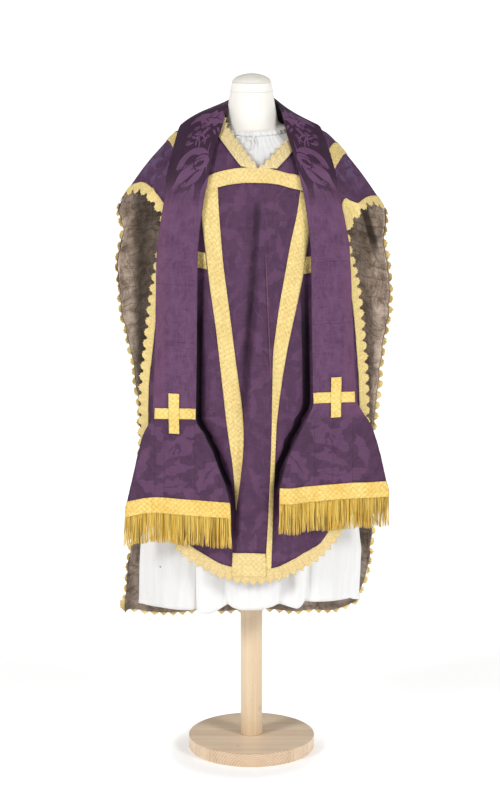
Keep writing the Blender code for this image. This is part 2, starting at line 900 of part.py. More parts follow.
def shoulder_band(side, mirror, looks, home):
    """The band that runs from the front yoke over the shoulder to the back yoke."""
    front = on_cloth(mirror * SHOULDER_FOOT[0], SHOULDER_FOOT[1])
    back = on_cloth(mirror * SHOULDER_FOOT[0], SHOULDER_FOOT[1], behind=True)
    ridge = (mirror * SHOULDER_RIDGE, 0.0)

    def flat(u, v):
        x, s = mix(ridge, front if v < 0.5 else back, abs(2 * v - 1))
        return x + mirror * (u - 0.5) * BAND, s

    return draped_cloth(
        f"shoulder_galloon_{side}", flat, 1, 24, TRIM_LIFT, TRIM_THICK, looks["galloon"], home
    )


# ---------- stole ----------
def raised(place, lift, step=0.002):
    """A surface lifted outwards from another by a distance."""

    def at(u, v):
        across = place(u + step, v) - place(u - step, v)
        along = place(u, v + step) - place(u, v - step)
        return place(u, v) + across.cross(along).normalized() * lift

    return at


def stole_neck(mirror, lift):
    """The stole from the nape, round the neck and over the shoulder, down to the bend of its front."""
    inner = smooth([on_cloth(a, b) for a, b, _, _ in STOLE_STATIONS])
    outer = smooth([on_cloth(c, d) for _, _, c, d in STOLE_STATIONS])

    def base(u, v):
        if v < COLLAR_SHARE:
            turn = (1 - v / COLLAR_SHARE) * math.pi / 2
            ridge = draped(*mix(inner(0), outer(0), u), STOLE_LIFT)
            nape = mix(STOLE_NAPE_INNER, STOLE_NAPE_OUTER, u)
            x = (ridge.x - GARMENT_X) * math.cos(turn)
            depth = ridge.y + (nape[0] - ridge.y) * math.sin(turn)
            height = ridge.z + (nape[1] - ridge.z) * math.sin(turn) ** 2
            return Vector((GARMENT_X + x, depth, height))
        way = (v - COLLAR_SHARE) / (1 - COLLAR_SHARE)
        return draped(*mix(inner(way), outer(way), u), STOLE_LIFT)

    layer = raised(base, lift - STOLE_LIFT)

    def at(u, v):
        point = layer(u, v)
        across = max(point.x - GARMENT_X, 0) + SEAM
        return Vector((GARMENT_X + mirror * across, point.y, point.z))

    return at


def stole_end_edges(mirror, height):
    """The inner and outer x of a stole end at a height: a straight band that flares into a spade."""
    rise = STOLE_RIGHT_RISE if mirror > 0 else 0
    top_inner, _, top_outer, _ = STOLE_STATIONS[-1]
    flare_top, end = STOLE_FLARE_TOP + rise, STOLE_END_LEVEL + rise
    level = min(max((STOLE_HINGE - height) / (STOLE_HINGE - flare_top), 0), 1)
    inner = top_inner + (STOLE_BAND_FOOT[0] - top_inner) * level
    outer = top_outer + (STOLE_BAND_FOOT[1] - top_outer) * level
    open_share = min(max((flare_top - height) / (flare_top - end), 0), 1)
    flare = math.sin(open_share * math.pi / 2)
    return inner - STOLE_FLARE_IN * flare, outer + STOLE_FLARE_OUT * flare


def stole_piece(name, mirror, top, bottom, share, lift, thick, along, look, home, across=2):
    """A piece of a stole end between two heights and two shares of its width."""

    def flat(u, v):
        height = top + (bottom - top) * v
        inner, outer = stole_end_edges(mirror, height)
        x = inner + (outer - inner) * (share[0] + (share[1] - share[0]) * u)
        return on_cloth(mirror * x, height)

    return draped_cloth(name, flat, across, along, lift, thick, look, home)


def stole(looks, home):
    """The stole's neck part, and for each side the nodes of the end that hangs free."""
    neck, ends = [], {"left": [], "right": []}
    for side, mirror in (("left", -1), ("right", 1)):
        rise = STOLE_RIGHT_RISE if mirror > 0 else 0
        for layer, lift, thick, look in (
            ("", STOLE_LIFT, DAMASK_THICK, "damask"),
            ("_lining", STOLE_LINING_LIFT, LINING_THICK, "dark_lining"),
        ):
            place = stole_neck(mirror, lift)
            neck.append(cloth(f"stole_{side}_neck{layer}", place, 3, 16, thick, looks[look], home))
            ends[side].append(
                stole_piece(
                    f"stole_{side}_end{layer}",
                    mirror,
                    STOLE_HINGE,
                    STOLE_END_LEVEL + rise - STOLE_GALLOON,
                    (0, 1),
                    lift,
                    thick,
                    14,
                    looks[look],
                    home,
                )
            )
        level, end = STOLE_CROSS_LEVEL + rise, STOLE_END_LEVEL + rise
        half = CROSS_BAR / 2
        trims = [
            ("cross_bar", level + half, level - half, (0.01, 0.99), STOLE_TRIM_LIFT, 1),
            ("cross_upright", level + CROSS_HALF, level - CROSS_HALF, CROSS_SHARE, CROSS_LIFT, 4),
            ("end_galloon", end, end - STOLE_GALLOON, (0, 1), STOLE_TRIM_LIFT, 2),
        ]
        for part, top, bottom, share, lift, along in trims:
            ends[side].append(
                stole_piece(
                    f"stole_{side}_{part}",
                    mirror,
                    top,
                    bottom,
                    share,
                    lift,
                    TRIM_THICK,
                    along,
                    looks["galloon"],
                    home,
                )
            )
        ends[side].append(fringe(side, mirror, end - STOLE_GALLOON - GAP, looks, home))
    return neck, ends


def fringe(side, mirror, top, looks, home):
    """The fringe as a comb: a narrow heading with broad teeth for its bunched threads."""
    heading, length, spread, thick = 0.006, 0.061, 0.004, 0.0024
    columns = 2 * FRINGE_STRANDS + 1
    inner, outer = stole_end_edges(mirror, top)

    def place(u, v):
        low = max(v - 1, 0)
        x = inner - spread * low + (outer - inner + 2 * spread * low) * u
        return draped(*on_cloth(mirror * x, top - heading * min(v, 1) - length * low), STOLE_LIFT)

    bm = bmesh.new()
    bmesh.ops.create_grid(bm, x_segments=columns, y_segments=2, size=0.5)
    gaps = [f for f in bm.faces if f.calc_center_median().y < 0 and is_gap(f, columns)]
    bmesh.ops.delete(bm, geom=gaps, context="FACES")
    for vert in bm.verts:
        vert.co = place(vert.co.x + 0.5, 1 - 2 * vert.co.y)
    bmesh.ops.recalc_face_normals(bm, faces=bm.faces)
    mesh = bpy.data.meshes.new("fringe")
    bm.to_mesh(mesh)
    bm.free()
    made = add(f"stole_{side}_fringe", mesh, looks["fringe"], home)
    solidify(made, thick)
    return made


def is_gap(face, columns):
    """Whether a face of the comb's lower row lies between two teeth."""
    column = int((face.calc_center_median().x + 0.5) * columns)
    return column % 2 == 1


# ---------- the whole ----------
def looks_of():
    return {
        "beech": material("beech", (0.83, 0.66, 0.46), 0.45),
        "steel": material("steel", (0.60, 0.60, 0.62), 0.30, 1.0),
        "canvas": material("form_canvas", (0.90, 0.87, 0.80), 0.85),
        "plywood": material("plywood", (0.70, 0.55, 0.38), 0.60),
        "cotton": material("cotton", (0.88, 0.87, 0.84), 0.90),
        "damask": material("damask", (0.115, 0.052, 0.115), 0.55),
        "linen": material("linen", (0.20, 0.15, 0.11), 0.85),
        "dark_lining": material("dark_lining", (0.06, 0.03, 0.06), 0.80),
        "galloon": material("galloon", (0.80, 0.58, 0.20), 0.45),
        "lace": material("lace", (0.76, 0.56, 0.21), 0.50),
        "fringe": material("fringe", (0.60, 0.42, 0.12), 0.50),
    }


def main():
    clear_scene()
    home = bpy.data.collections.new(COLLECTION)
    tools = bpy.data.collections.new("cutters")
    bpy.context.scene.collection.children.link(home)
    bpy.context.scene.collection.children.link(tools)
    looks = looks_of()
    stand(looks, home)
    collar, screw = clamp(looks, home)
    middle = COLLAR_BOTTOM + COLLAR_HEIGHT / 2
    slide = moving("height_slide", (0, 0, middle), None, [collar])
    moving("clamp_turn", (COLLAR_RADIUS, 0, middle), slide, [screw])
    swivel = moving("form_swivel", (0, 0, BOARD_BOTTOM), slide, form(looks, home))
    tunic_lift = moving("tunic_lift", (0, 0, RIDGE_TOP), swivel, tunic(looks, home))
    garment = panels(looks, home) + laces(looks, home) + galloons(looks, home)
    chasuble_lift = moving("chasuble_lift", (0, 0, RIDGE_TOP), tunic_lift, garment)
    neck, ends = stole(looks, home)
    stole_lift = moving("stole_lift", (0, 0, RIDGE_TOP), chasuble_lift, neck)
    for side, mirror in (("left", -1), ("right", 1)):
        x = mirror * (STOLE_STATIONS[-1][0] + STOLE_STATIONS[-1][2]) / 2
        hinge = draped(*on_cloth(x, STOLE_HINGE), STOLE_LIFT)
        moving(f"stole_{side}_swing", hinge, stole_lift, ends[side])


main()
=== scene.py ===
"""Looks for a Roman chasuble and stole on a dress form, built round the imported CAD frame. Metres.

A point of the chasuble's cloth is (x, s), as in the CAD: x across from the neck's middle, and s down from
the shoulder ridge, above 0 in front and below 0 behind. Every layer is laid on one draped surface.
"""

import functools
import math

import bmesh
import bpy
import numpy as np
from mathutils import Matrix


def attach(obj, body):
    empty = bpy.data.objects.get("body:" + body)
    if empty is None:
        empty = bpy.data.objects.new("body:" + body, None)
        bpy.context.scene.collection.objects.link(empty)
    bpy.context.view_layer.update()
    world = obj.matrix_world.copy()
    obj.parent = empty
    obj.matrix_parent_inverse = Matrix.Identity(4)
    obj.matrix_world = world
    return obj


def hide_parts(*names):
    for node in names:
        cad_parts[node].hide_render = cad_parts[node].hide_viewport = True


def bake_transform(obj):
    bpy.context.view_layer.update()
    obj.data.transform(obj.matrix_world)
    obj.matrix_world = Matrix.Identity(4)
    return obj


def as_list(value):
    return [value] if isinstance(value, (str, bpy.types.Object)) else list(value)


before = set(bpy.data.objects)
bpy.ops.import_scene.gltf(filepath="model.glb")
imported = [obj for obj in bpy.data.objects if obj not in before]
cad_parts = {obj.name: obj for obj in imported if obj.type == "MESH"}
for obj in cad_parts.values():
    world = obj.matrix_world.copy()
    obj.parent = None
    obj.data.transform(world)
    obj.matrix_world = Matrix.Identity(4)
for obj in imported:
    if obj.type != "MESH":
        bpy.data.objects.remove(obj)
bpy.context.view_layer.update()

# ---------- dimensions shared with the CAD ----------
GARMENT_X = 0.004
RIDGE_TOP, RIDGE_FALL, RIDGE_POWER = 1.412, 0.199, 2.57
TIP_X, SPREAD = 0.285, 0.3
TIP_REACH, FRONT_REACH, BACK_REACH = 0.03, 0.1, 0.105
TIP_DROP, NECK_DROP = 0.04, 0.08
FRONT_HEM_DEPTH, BACK_HEM_DEPTH, HEM_BOW = 0.15, 0.17, 0.6
HANG_LENGTH, RIDGE_EASE, CHEST_EASE = 0.85, 0.25, 0.3
SEAM = 0.0006

NECK_TIPS = [
    (-0.062, None), (-0.052, 1.378), (-0.012, 1.3305), (0.011, 1.3035), (0.036, 1.3255), (0.066, 1.352),
    (0.078, None),
]
NECK_HEADING = [
    (-0.09, None), (-0.072, 1.357), (-0.026, 1.3025), (0.011, 1.2945), (0.048, 1.2975), (0.08, 1.329),
    (0.104, None),
]
NECK_IN = 0.01
NECK_START = 0.25
BACK_NECK_DEPTH = 0.085
ARMHOLE_LEFT = [
    (0.285, None), (0.274, 1.224), (0.255, 1.233), (0.237, 1.235), (0.221, 1.225), (0.208, 1.207),
    (0.198, 1.19), (0.198, 1.158), (0.208, 1.112), (0.221, 1.038), (0.23, 0.97), (0.238, 0.9),
    (0.246, 0.82), (0.248, 0.7),
]
ARMHOLE_RIGHT = [
    (0.285, None), (0.275, 1.199), (0.258, 1.208), (0.241, 1.2085), (0.226, 1.196), (0.213, 1.179),
    (0.204, 1.16), (0.208, 1.13), (0.217, 1.096), (0.226, 1.055), (0.235, 0.99), (0.243, 0.9),
    (0.248, 0.815), (0.248, 0.7),
]
# The heading over the armhole at +X, the share of the lace it spans, and how the lace's share runs along it.
CREST = [
    (0.265, None), (0.2596, 1.2279), (0.2527, 1.2303), (0.2457, 1.2306), (0.2343, 1.2285), (0.2245, 1.224),
    (0.2154, 1.2205), (0.2014, 1.2271), (0.19, 1.232), (0.1815, 1.215), (0.178, 1.185),
]
CREST_END = 0.45
CREST_PACE = [
    (0, 0), (0.053, 0), (0.222, 0.136), (0.362, 0.245), (0.487, 0.341), (0.58, 0.455), (0.673, 0.545),
    (0.751, 0.636), (0.813, 0.727), (0.889, 0.818), (0.95, 0.909), (1, 1),
]
FRONT_HALF, CURVE_START, FRONT_HEM = 0.248, 0.7, 0.413
LACE_WIDTH, HEM_LACE_WIDTH, LACE_PROUD = 0.028, 0.034, 0.01
BACK_HEM, BACK_LACE_WIDTH = 0.255, 0.026
BACK_LEFT = [
    (0.286, None), (0.293, 1.189), (0.289, 1.15), (0.3, 1.063), (0.292, 0.983), (0.273, 0.845),
    (0.261, 0.726), (0.259, 0.64), (0.268, 0.52), (0.28, 0.432), (0.292, 0.34), (0.297, BACK_HEM + 0.018),
]
BACK_RIGHT = [
    (0.283, None), (0.287, 1.178), (0.291, 1.12), (0.302, 1.000), (0.289, 0.89), (0.281, 0.77),
    (0.273, 0.652), (0.274, 0.54), (0.275, 0.474), (0.27, 0.405), (0.258, 0.345), (0.238, BACK_HEM + 0.031),
]
BAND = 0.033
STOLE_HINGE = 1.13
STOLE_TOP = {-1: (0.113, 0.197), 1: (0.116, 0.196)}
STOLE_FOOT = {-1: (0.1175, 0.207), 1: (0.122, 0.2125)}
# How far each spade opens at distances below its top: (distance, inner edge, outer edge).
FLARE = {
    -1: [
        (0, 0, 0), (0.006, 0.0024, 0.0032), (0.024, 0.014, 0.014), (0.04, 0.0224, 0.0205),
        (0.055, 0.03, 0.0247), (0.078, 0.0392, 0.0303), (0.12, 0.054, 0.0397), (0.153, 0.0647, 0.0482),
        (0.176, 0.07, 0.0535), (0.198, 0.071, 0.0578), (0.26, 0.071, 0.061),
    ],
    1: [
        (0, 0, 0), (0.006, 0.0018, 0.0018), (0.021, 0.009, 0.0105), (0.04, 0.019, 0.022),
        (0.06, 0.0284, 0.0315), (0.086, 0.0404, 0.0408), (0.118, 0.0549, 0.05), (0.155, 0.0646, 0.058),
        (0.176, 0.0693, 0.063), (0.196, 0.0699, 0.0684), (0.27, 0.0687, 0.0684),
    ],
}
FLARE_TOP, STOLE_END = 0.77, 0.598
RIGHT_RISE = 0.034


# ---------- drape ----------
# How far each shoulder hangs below the even curve: (distance from the neck's middle, sag).
SAG = {
    -1: [
        (0.03, 0), (0.06, 0.0005), (0.145, 0.0015), (0.175, 0.003), (0.197, 0.007), (0.25, 0.007),
        (0.265, 0.005), (0.285, 0),
    ],
    1: [
        (0.03, 0), (0.055, 0.004), (0.07, 0.011), (0.09, 0.0155), (0.115, 0.016), (0.14, 0.0115),
        (0.157, 0.0095), (0.17, 0.013), (0.19, 0.0185), (0.21, 0.0225), (0.235, 0.024), (0.257, 0.0245),
        (0.275, 0.022), (0.29, 0.0195),
    ],
}


def ridge_height(x):
    """The shoulder line. Each shoulder sags from the even curve, the one at +X more."""
    x = np.asarray(x, float)
    sag = 0.0
    for step in (-0.008, -0.004, 0.0, 0.004, 0.008):
        left, right = (np.interp(np.abs(x) + step, *np.array(SAG[side]).T) for side in (-1, 1))
        sag = sag + np.where(x < 0, left, right) / 5
    return RIDGE_TOP - RIDGE_FALL * (np.abs(x) / TIP_X) ** RIDGE_POWER - sag


def shoulder(x, behind):
    """The cloth's reach and drop over the shoulder before it hangs, and the way along them."""
    falloff = 1 - (x / SPREAD) ** 2
    reach = TIP_REACH + np.where(behind, BACK_REACH, FRONT_REACH) * falloff
    drop = TIP_DROP + NECK_DROP * falloff
    return reach, drop, np.hypot(reach, drop)


def eased(t):
    """How far the shoulder's curve has gone out and down at a share of its length."""
    out = 3 * (1 - t) ** 2 * t * RIDGE_EASE + 3 * (1 - t) * t * t + t**3
    return out, 3 * (1 - t) * t * t * (1 - CHEST_EASE) + t**3


def surface(x, s):
    """Points of the draped surface, as the CAD has it, for arrays of x and s."""
    behind = s < 0
    reach, drop, length = shoulder(x, behind)
    way = np.abs(s)
    out, down = eased(np.clip(way / length, 0, 1))
    past = np.maximum(way - length, 0)
    hang = np.minimum(past / HANG_LENGTH, 1)
    hem = np.where(behind, BACK_HEM_DEPTH, FRONT_HEM_DEPTH) - HEM_BOW * x * x
    depth = reach * out + (hem - reach) * hang * hang * (3 - 2 * hang)
    height = ridge_height(x) - drop * down - past
    return np.stack([GARMENT_X + x, np.where(behind, depth, -depth), height], -1)


def normals(x, s, step=0.0005):
    """Unit directions out of the draped surface."""
    across = surface(x + step, s) - surface(x - step, s)
    down = surface(x, s + step) - surface(x, s - step)
    out = np.cross(across, -down)
    return out / np.linalg.norm(out, axis=-1, keepdims=True)


def on_cloth(x, height, behind=False):
    """The cloth points at heights, or at the shoulder seam where a height is NaN."""
    x, height = np.broadcast_arrays(np.asarray(x, float), np.asarray(height, float))
    _, drop, length = shoulder(x, behind)
    fall = ridge_height(x) - height
    low, high = np.zeros_like(x), np.ones_like(x)
    for _ in range(30):
        t = (low + high) / 2
        under = eased(t)[1] * drop < fall
        low, high = np.where(under, t, low), np.where(under, high, t)
    way = np.where(fall >= drop, length + fall - drop, np.maximum(low * length, SEAM))
    way = np.where(np.isnan(fall), SEAM, way)
    return np.stack([x, -way if behind else way], -1)


# ---------- noise and folds ----------
def noise(x, y, seed=0):
    """Smooth value noise from -1 to 1 over arrays."""
    i, j = np.floor(x), np.floor(y)
    fx, fy = x - i, y - j
    fx, fy = fx * fx * (3 - 2 * fx), fy * fy * (3 - 2 * fy)

    def lattice(a, b):
        return np.mod(np.sin(a * 127.1 + b * 311.7 + seed * 74.7) * 43758.5453, 1) * 2 - 1

    top = lattice(i, j) * (1 - fx) + lattice(i + 1, j) * fx
    low = lattice(i, j + 1) * (1 - fx) + lattice(i + 1, j + 1) * fx
    return top * (1 - fy) + low * fy


def crumple(x, y, size, seed=0, octaves=3):
    """Layered noise, each layer half as large and half as strong."""
    return sum(noise(x / size * 2**k + 7 * k, y / size * 2**k, seed + k) / 2**k for k in range(octaves))


def along(height, knots):
    """A value that follows the height through (height, value) knots, highest first."""
    table = np.array(knots, float)[::-1]
    return np.interp(height, table[:, 0], table[:, 1])


def ridge(x, centre, width):
    """A rounded ridge, 1 at its centre."""
    return np.exp(-(((x - centre) / width) ** 2))


def stole_edges(mirror, height):
    """The inner and outer x at heights below the hinge: a straight band that flares into a spade."""
    flare_top = FLARE_TOP + (RIGHT_RISE if mirror > 0 else 0)
    level = np.clip((STOLE_HINGE - height) / (STOLE_HINGE - flare_top), 0, 1)
    (top_inner, top_outer), (low_inner, low_outer) = STOLE_TOP[mirror], STOLE_FOOT[mirror]
    below, opened_in, opened_out = np.array(FLARE[mirror]).T
    inner = top_inner + (low_inner - top_inner) * level - np.interp(flare_top - height, below, opened_in)
    outer = top_outer + (low_outer - top_outer) * level + np.interp(flare_top - height, below, opened_out)
    return inner, outer


PLEAT_LEFT = [
    (1.275, 0.006), (1.13, 0.009), (1.00, 0.004), (0.88, -0.01), (0.771, -0.019), (0.66, -0.027),
    (0.575, -0.037), (0.47, -0.044),
]
PLEAT_RIGHT = [
    (1.275, 0.021), (1.13, 0.03), (1.03, 0.034), (0.83, 0.041), (0.741, 0.04), (0.595, 0.035), (0.47, 0.027),
]
PLEAT_RISE = [(1.272, 0.001), (1.22, 0.005), (1.05, 0.009), (0.8, 0.012), (0.6, 0.01), (0.46, 0.004)]
PLEAT_GROOVE = [(1.27, 0), (1.2, 0.004), (1.0, 0.007), (0.7, 0.006), (0.55, 0.002)]
STOLE_GROOVE = [(1.22, 0), (1.1, 0.006), (0.8, 0.009), (0.74, 0.014), (0.6, 0.016), (0.52, 0.006), (0.47, 0)]
# Upright folds on both sides of the front: place, width, and the rise at each height.
SIDE_FOLDS = [
    (0.088, 0.012, [(1.16, 0), (1.00, 0.003), (0.85, 0.002), (0.75, 0)]),
    (0.15, 0.026, [(0.55, 0), (0.47, 0.004), (0.42, 0.005)]),
    (0.105, 0.02, [(0.56, 0), (0.47, -0.005), (0.42, -0.006)]),
]


def front_folds(x, z):
    """How far the front stands out from the drape at (x, height)."""
    left, right = along(z, PLEAT_LEFT), along(z, PLEAT_RIGHT)
    share = np.clip((x - left) / (right - left), 0, 1)
    fold = np.sin(math.pi * share**0.55) * along(z, PLEAT_RISE)
    fold -= ridge(x, left - 0.007, 0.01) * along(z, PLEAT_GROOVE)
    fold += ridge(x, left - 0.03, 0.012) * along(z, [(1.24, 0), (1.1, 0.002), (0.85, 0.002), (0.7, 0)])
    for side in (-1, 1):
        inner, _ = stole_edges(side, z)
        fold -= ridge(side * x, inner + 0.001, 0.012) * along(z, STOLE_GROOVE)
        for place, width, rise in SIDE_FOLDS:
            fold += ridge(side * x, place, width) * along(z, rise)
    fold += ridge(x, 0.058, 0.006) * along(z, [(0.56, 0), (0.49, 0.003), (0.44, 0.003)])
    covered = ridge(np.abs(x), 0.17, 0.05) * along(z, [(1.3, 1), (0.6, 1), (0.5, 0)])
    free = 1 - 0.75 * covered
    soft = 0.002 * crumple(x, z * 0.28, 0.03, 3, 2) + 0.0008 * crumple(x, z * 1.6, 0.02, 11)
    slant = 0.0026 * crumple(x * 0.8 + z * 0.8, (z - np.abs(x)) * 0.35, 0.022, 21, 2)
    high = np.clip((z - 1.13) / 0.1, 0, 1) * np.clip((np.abs(x) - 0.1) / 0.06, 0, 1)
    return fold + soft * free * np.clip((1.32 - z) / 0.1, 0, 1) + slant * high


def back_folds(x, z):
    """The same for the back: flutes that deepen to the hem, and sides that roll forward."""
    deep = np.clip((1.25 - z) / 0.9, 0, 1)
    wide, narrow = np.cos((x - 0.012) * 2 * math.pi / 0.135), np.cos((x + 0.03) * 2 * math.pi / 0.083)
    fold = deep * (0.007 * wide + 0.004 * narrow)
    edge = along(z, [(1.2, 0.0), (1.08, 0.011), (0.75, 0.01), (0.5, 0.004), (0.3, 0.002)])
    fold -= (ridge(x, -0.258, 0.014) + 0.7 * ridge(x, 0.268, 0.012)) * edge
    fold += ridge(np.abs(x), 0.232, 0.02) * edge * 0.8
    fold += 0.003 * crumple(x * 0.9, z * 0.9, 0.034, 5, 3) + 0.0014 * crumple(x * 0.5, z * 2.2, 0.022, 9, 2)
    outer = np.clip((np.abs(x) - 0.2) / 0.03, 0, 1) * np.clip((1.2 - z) / 0.05, 0, 1)
    level, upright = crumple(x * 0.35, z * 1.2, 0.018, 15, 2), crumple(x * 1.6, z * 0.25, 0.024, 17, 2)
    fold += outer * (0.004 * level + 0.0045 * upright)
    corner = np.clip((x - 0.185) / 0.11, 0, 1) ** 1.6 * np.clip((0.43 - z) / 0.17, 0, 1) ** 1.2
    return fold * np.clip((1.33 - z) / 0.1, 0, 1) + 0.055 * corner


def lay(cloth, lift):
    """Cloth points (..., 2) laid on the drape with its folds, a distance outside the damask."""
    x, s = cloth[..., 0], cloth[..., 1]
    base = surface(x, s)
    fold = np.where(s < 0, back_folds(x, base[..., 2]), front_folds(x, base[..., 2]))
    near = np.clip(np.abs(s) / 0.05, 0, 1)
    return base + normals(x, s) * (fold * near + lift)[..., None]


# ---------- outlines ----------
def smooth(points):
    """A Catmull-Rom curve through points, as a function of an array of shares."""
    p = np.array(points, float)
    p = np.vstack([2 * p[0] - p[1], p, 2 * p[-1] - p[-2]])

    def at(share):
        place = np.clip(np.asarray(share, float), 0, 1) * (len(p) - 3)
        i = np.minimum(place.astype(int), len(p) - 4)
        t = (place - i)[..., None]
        a, b, c, d = p[i], p[i + 1], p[i + 2], p[i + 3]
        return b + ((c - a) * t + (2 * a - 5 * b + 4 * c - d) * t * t + (3 * b - a - 3 * c + d) * t**3) / 2

    return at


def straight(points):
    """Straight lines through points, as a function of an array of shares."""
    p = np.array(points, float)

    def at(share):
        place = np.clip(np.asarray(share, float), 0, 1) * (len(p) - 1)
        i = np.minimum(place.astype(int), len(p) - 2)
        return p[i] + (p[i + 1] - p[i]) * (place - i)[..., None]

    return at


def cloth_curve(points, behind=False, mirror=1, bend=smooth):
    """A curve on the cloth through points given as (x, height)."""
    heights = [math.nan if z is None else z for _, z in points]
    return bend(on_cloth([mirror * x for x, _ in points], heights, behind))


def stretch(x, s, step=0.0005):
    """How the draped surface moves for a step across and a step down the cloth."""
    across = (surface(x + step, s) - surface(x - step, s)) / (2 * step)
    side = np.where(s < 0, -1, 1) * np.maximum(np.abs(s), 2 * step)
    down = (surface(x, side + step) - surface(x, side - step)) / (2 * step)
    return across, down


def offset(curve, distance, floor=None):
    """A curve beside another, to its right for a distance above 0, measured on the draped surface."""

    def at(share):
        share = np.asarray(share, float)
        here = curve(share)
        way = curve(np.minimum(share + 0.01, 1)) - curve(np.maximum(share - 0.01, 0))
        across, down = stretch(here[..., 0], here[..., 1])
        tangent = across * way[..., :1] + down * way[..., 1:]
        beside = np.cross(tangent, np.cross(across, down))
        beside /= np.linalg.norm(beside, axis=-1, keepdims=True)
        aa, dd, ad = (across * across).sum(-1), (down * down).sum(-1), (across * down).sum(-1)
        pa, pd = (beside * across).sum(-1), (beside * down).sum(-1)
        det = aa * dd - ad * ad
        step = np.stack([(pa * dd - pd * ad) / det, (pd * aa - pa * ad) / det], -1)
        moved = here + step * distance
        if floor is not None:
            held = np.maximum if floor > 0 else np.minimum
            moved[..., 1] = held(moved[..., 1], floor)
        return moved

    return at


def patch(top, bottom, left, right, u, v):
    """A grid of cloth points between four edges that meet at their corners."""
    t, b, e, r = top(u), bottom(u), left(v), right(v)
    u, v = u[None, :, None], v[:, None, None]
    grid = (1 - v) * t[None] + v * b[None] + (1 - u) * e[:, None] + u * r[:, None]
    corners = (1 - v) * ((1 - u) * t[0] + u * t[-1]) + v * ((1 - u) * b[0] + u * b[-1])
    return grid - corners


def between(first, second, across, down, teeth=None):
    """A strip of cloth points from the first edge to the second, and its UV in metres.

    teeth is (pitch, depth, shape): notches are cut into the first edge.
    """
    v = np.linspace(0, 1, down + 1)
    a, b = first(v), second(v)
    places = surface(a[:, 0], a[:, 1])
    run = np.concatenate([[0], np.cumsum(np.linalg.norm(np.diff(places, axis=0), axis=1))])
    width = np.linalg.norm(surface(b[:, 0], b[:, 1]) - places, axis=1, keepdims=True)
    if teeth:
        pitch, depth, shape = teeth
        count = max(round(run[-1] / pitch), 1)
        place = np.mod(run / run[-1] * count, 1)
        a = a + (b - a) / np.maximum(width, 1e-6) * (shape(place) * depth)[:, None]
        run = run / run[-1] * count * pitch
    u = np.linspace(0, 1, across + 1)
    grid = a[:, None] + (b - a)[:, None] * u[None, :, None]
    uv = np.stack(np.broadcast_arrays(width * (1 - u[None]), run[:, None]), -1)
    return grid, uv


def leaf_teeth(place):
    """Pointed leaves with a lobe on each side, and a sharp notch between them."""
    away = np.abs(2 * place - 1)
    return np.clip(away**0.9 + 0.17 * np.sin(3 * math.pi * away), 0, 1)


def sharp_teeth(place):
    """Plain pointed teeth."""
    return np.abs(2 * place - 1) * 0.92 + 0.08 * np.abs(np.sin(4 * math.pi * place))


def weave(cloth):
    """Texture coordinates in metres that follow the cloth's threads."""
    x, s = cloth[..., 0], cloth[..., 1]
    return np.stack([x, np.abs(s) + RIDGE_TOP - ridge_height(x)], -1)


# ---------- mesh ----------
def added(name, verts, faces, look):
    """A smooth-shaded object in the scene, from lists of points and faces."""
    mesh = bpy.data.meshes.new(name)
    mesh.from_pydata(verts, [], faces)
    mesh.materials.append(look)
    mesh.shade_smooth()
    made = bpy.data.objects.new(name, mesh)
    bpy.context.scene.collection.objects.link(made)
    return made


def quads(here, there):
    """Faces between two arrays of point numbers, each row joined to the next."""
    return np.stack([here[:-1], here[1:], there[1:], there[:-1]], -1).reshape(-1, 4)


def thicken(made, thick):
    """Gives a sheet its thickness, half to each side."""
    shell = made.modifiers.new("thickness", "SOLIDIFY")
    shell.thickness, shell.offset = thick, 0


def build(name, points, look, uv, thick=0.0, closed=False):
    """A mesh from a grid of points (rows, columns, 3), with UVs in metres, given its thickness."""
    rows, cols = points.shape[:2]
    wide = index = np.arange(rows * cols).reshape(rows, cols)
    if closed:
        index = np.concatenate([index, index[:, :1]], 1)
        uv = np.concatenate([uv, uv[:, :1] + [uv[0, -1, 0] + uv[0, 1, 0] - 2 * uv[0, 0, 0], 0]], 1)
        wide = np.arange(rows * (cols + 1)).reshape(rows, cols + 1)
    made = added(name, points.reshape(-1, 3).tolist(), quads(index[:, :-1], index[:, 1:]).tolist(), look)
    corners = quads(wide[:, :-1], wide[:, 1:]).ravel()
    flat = uv.reshape(-1, 2)[corners].ravel().astype(np.float32)
    made.data.uv_layers.new(name="cloth").data.foreach_set("uv", flat)
    if thick:
        thicken(made, thick)
    return made


def baked(made):
    """The piece with its modifiers applied."""
    bpy.context.view_layer.update()
    graph = bpy.context.evaluated_depsgraph_get()
    mesh = bpy.data.meshes.new_from_object(made.evaluated_get(graph), depsgraph=graph)
    made.modifiers.clear()
    made.data = mesh
    return made


def place(made, body, slot, *nodes):
    """Rides on a body and stands for CAD nodes. slot is not used."""
    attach(made, body)
    if nodes:
        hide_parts(*nodes)
    return made


def tubes(name, paths, radii, look, sides=4):
    """Many thin round strands in one mesh, from paths (count, points, 3)."""
    count, long = paths.shape[:2]
    way = np.gradient(paths, axis=1)
    way /= np.linalg.norm(way, axis=-1, keepdims=True)
    first = np.cross(way, [0.0, 1.0, 0.0])
    first /= np.linalg.norm(first, axis=-1, keepdims=True)
    second = np.cross(way, first)
    turn = np.arange(sides) * 2 * math.pi / sides
    ring = first[:, :, None] * np.cos(turn)[:, None] + second[:, :, None] * np.sin(turn)[:, None]
    points = paths[:, :, None] + ring * radii[:, :, None, None]
    here = np.arange(count * long * sides).reshape(count, long, sides)
    there = np.roll(here, -1, axis=2)
    walls = np.stack([here[:, :-1], there[:, :-1], there[:, 1:], here[:, 1:]], -1).reshape(-1, 4).tolist()
    ends = here[:, 0, ::-1].tolist() + here[:, -1].tolist()
    return added(name, points.reshape(-1, 3).tolist(), walls + ends, look)


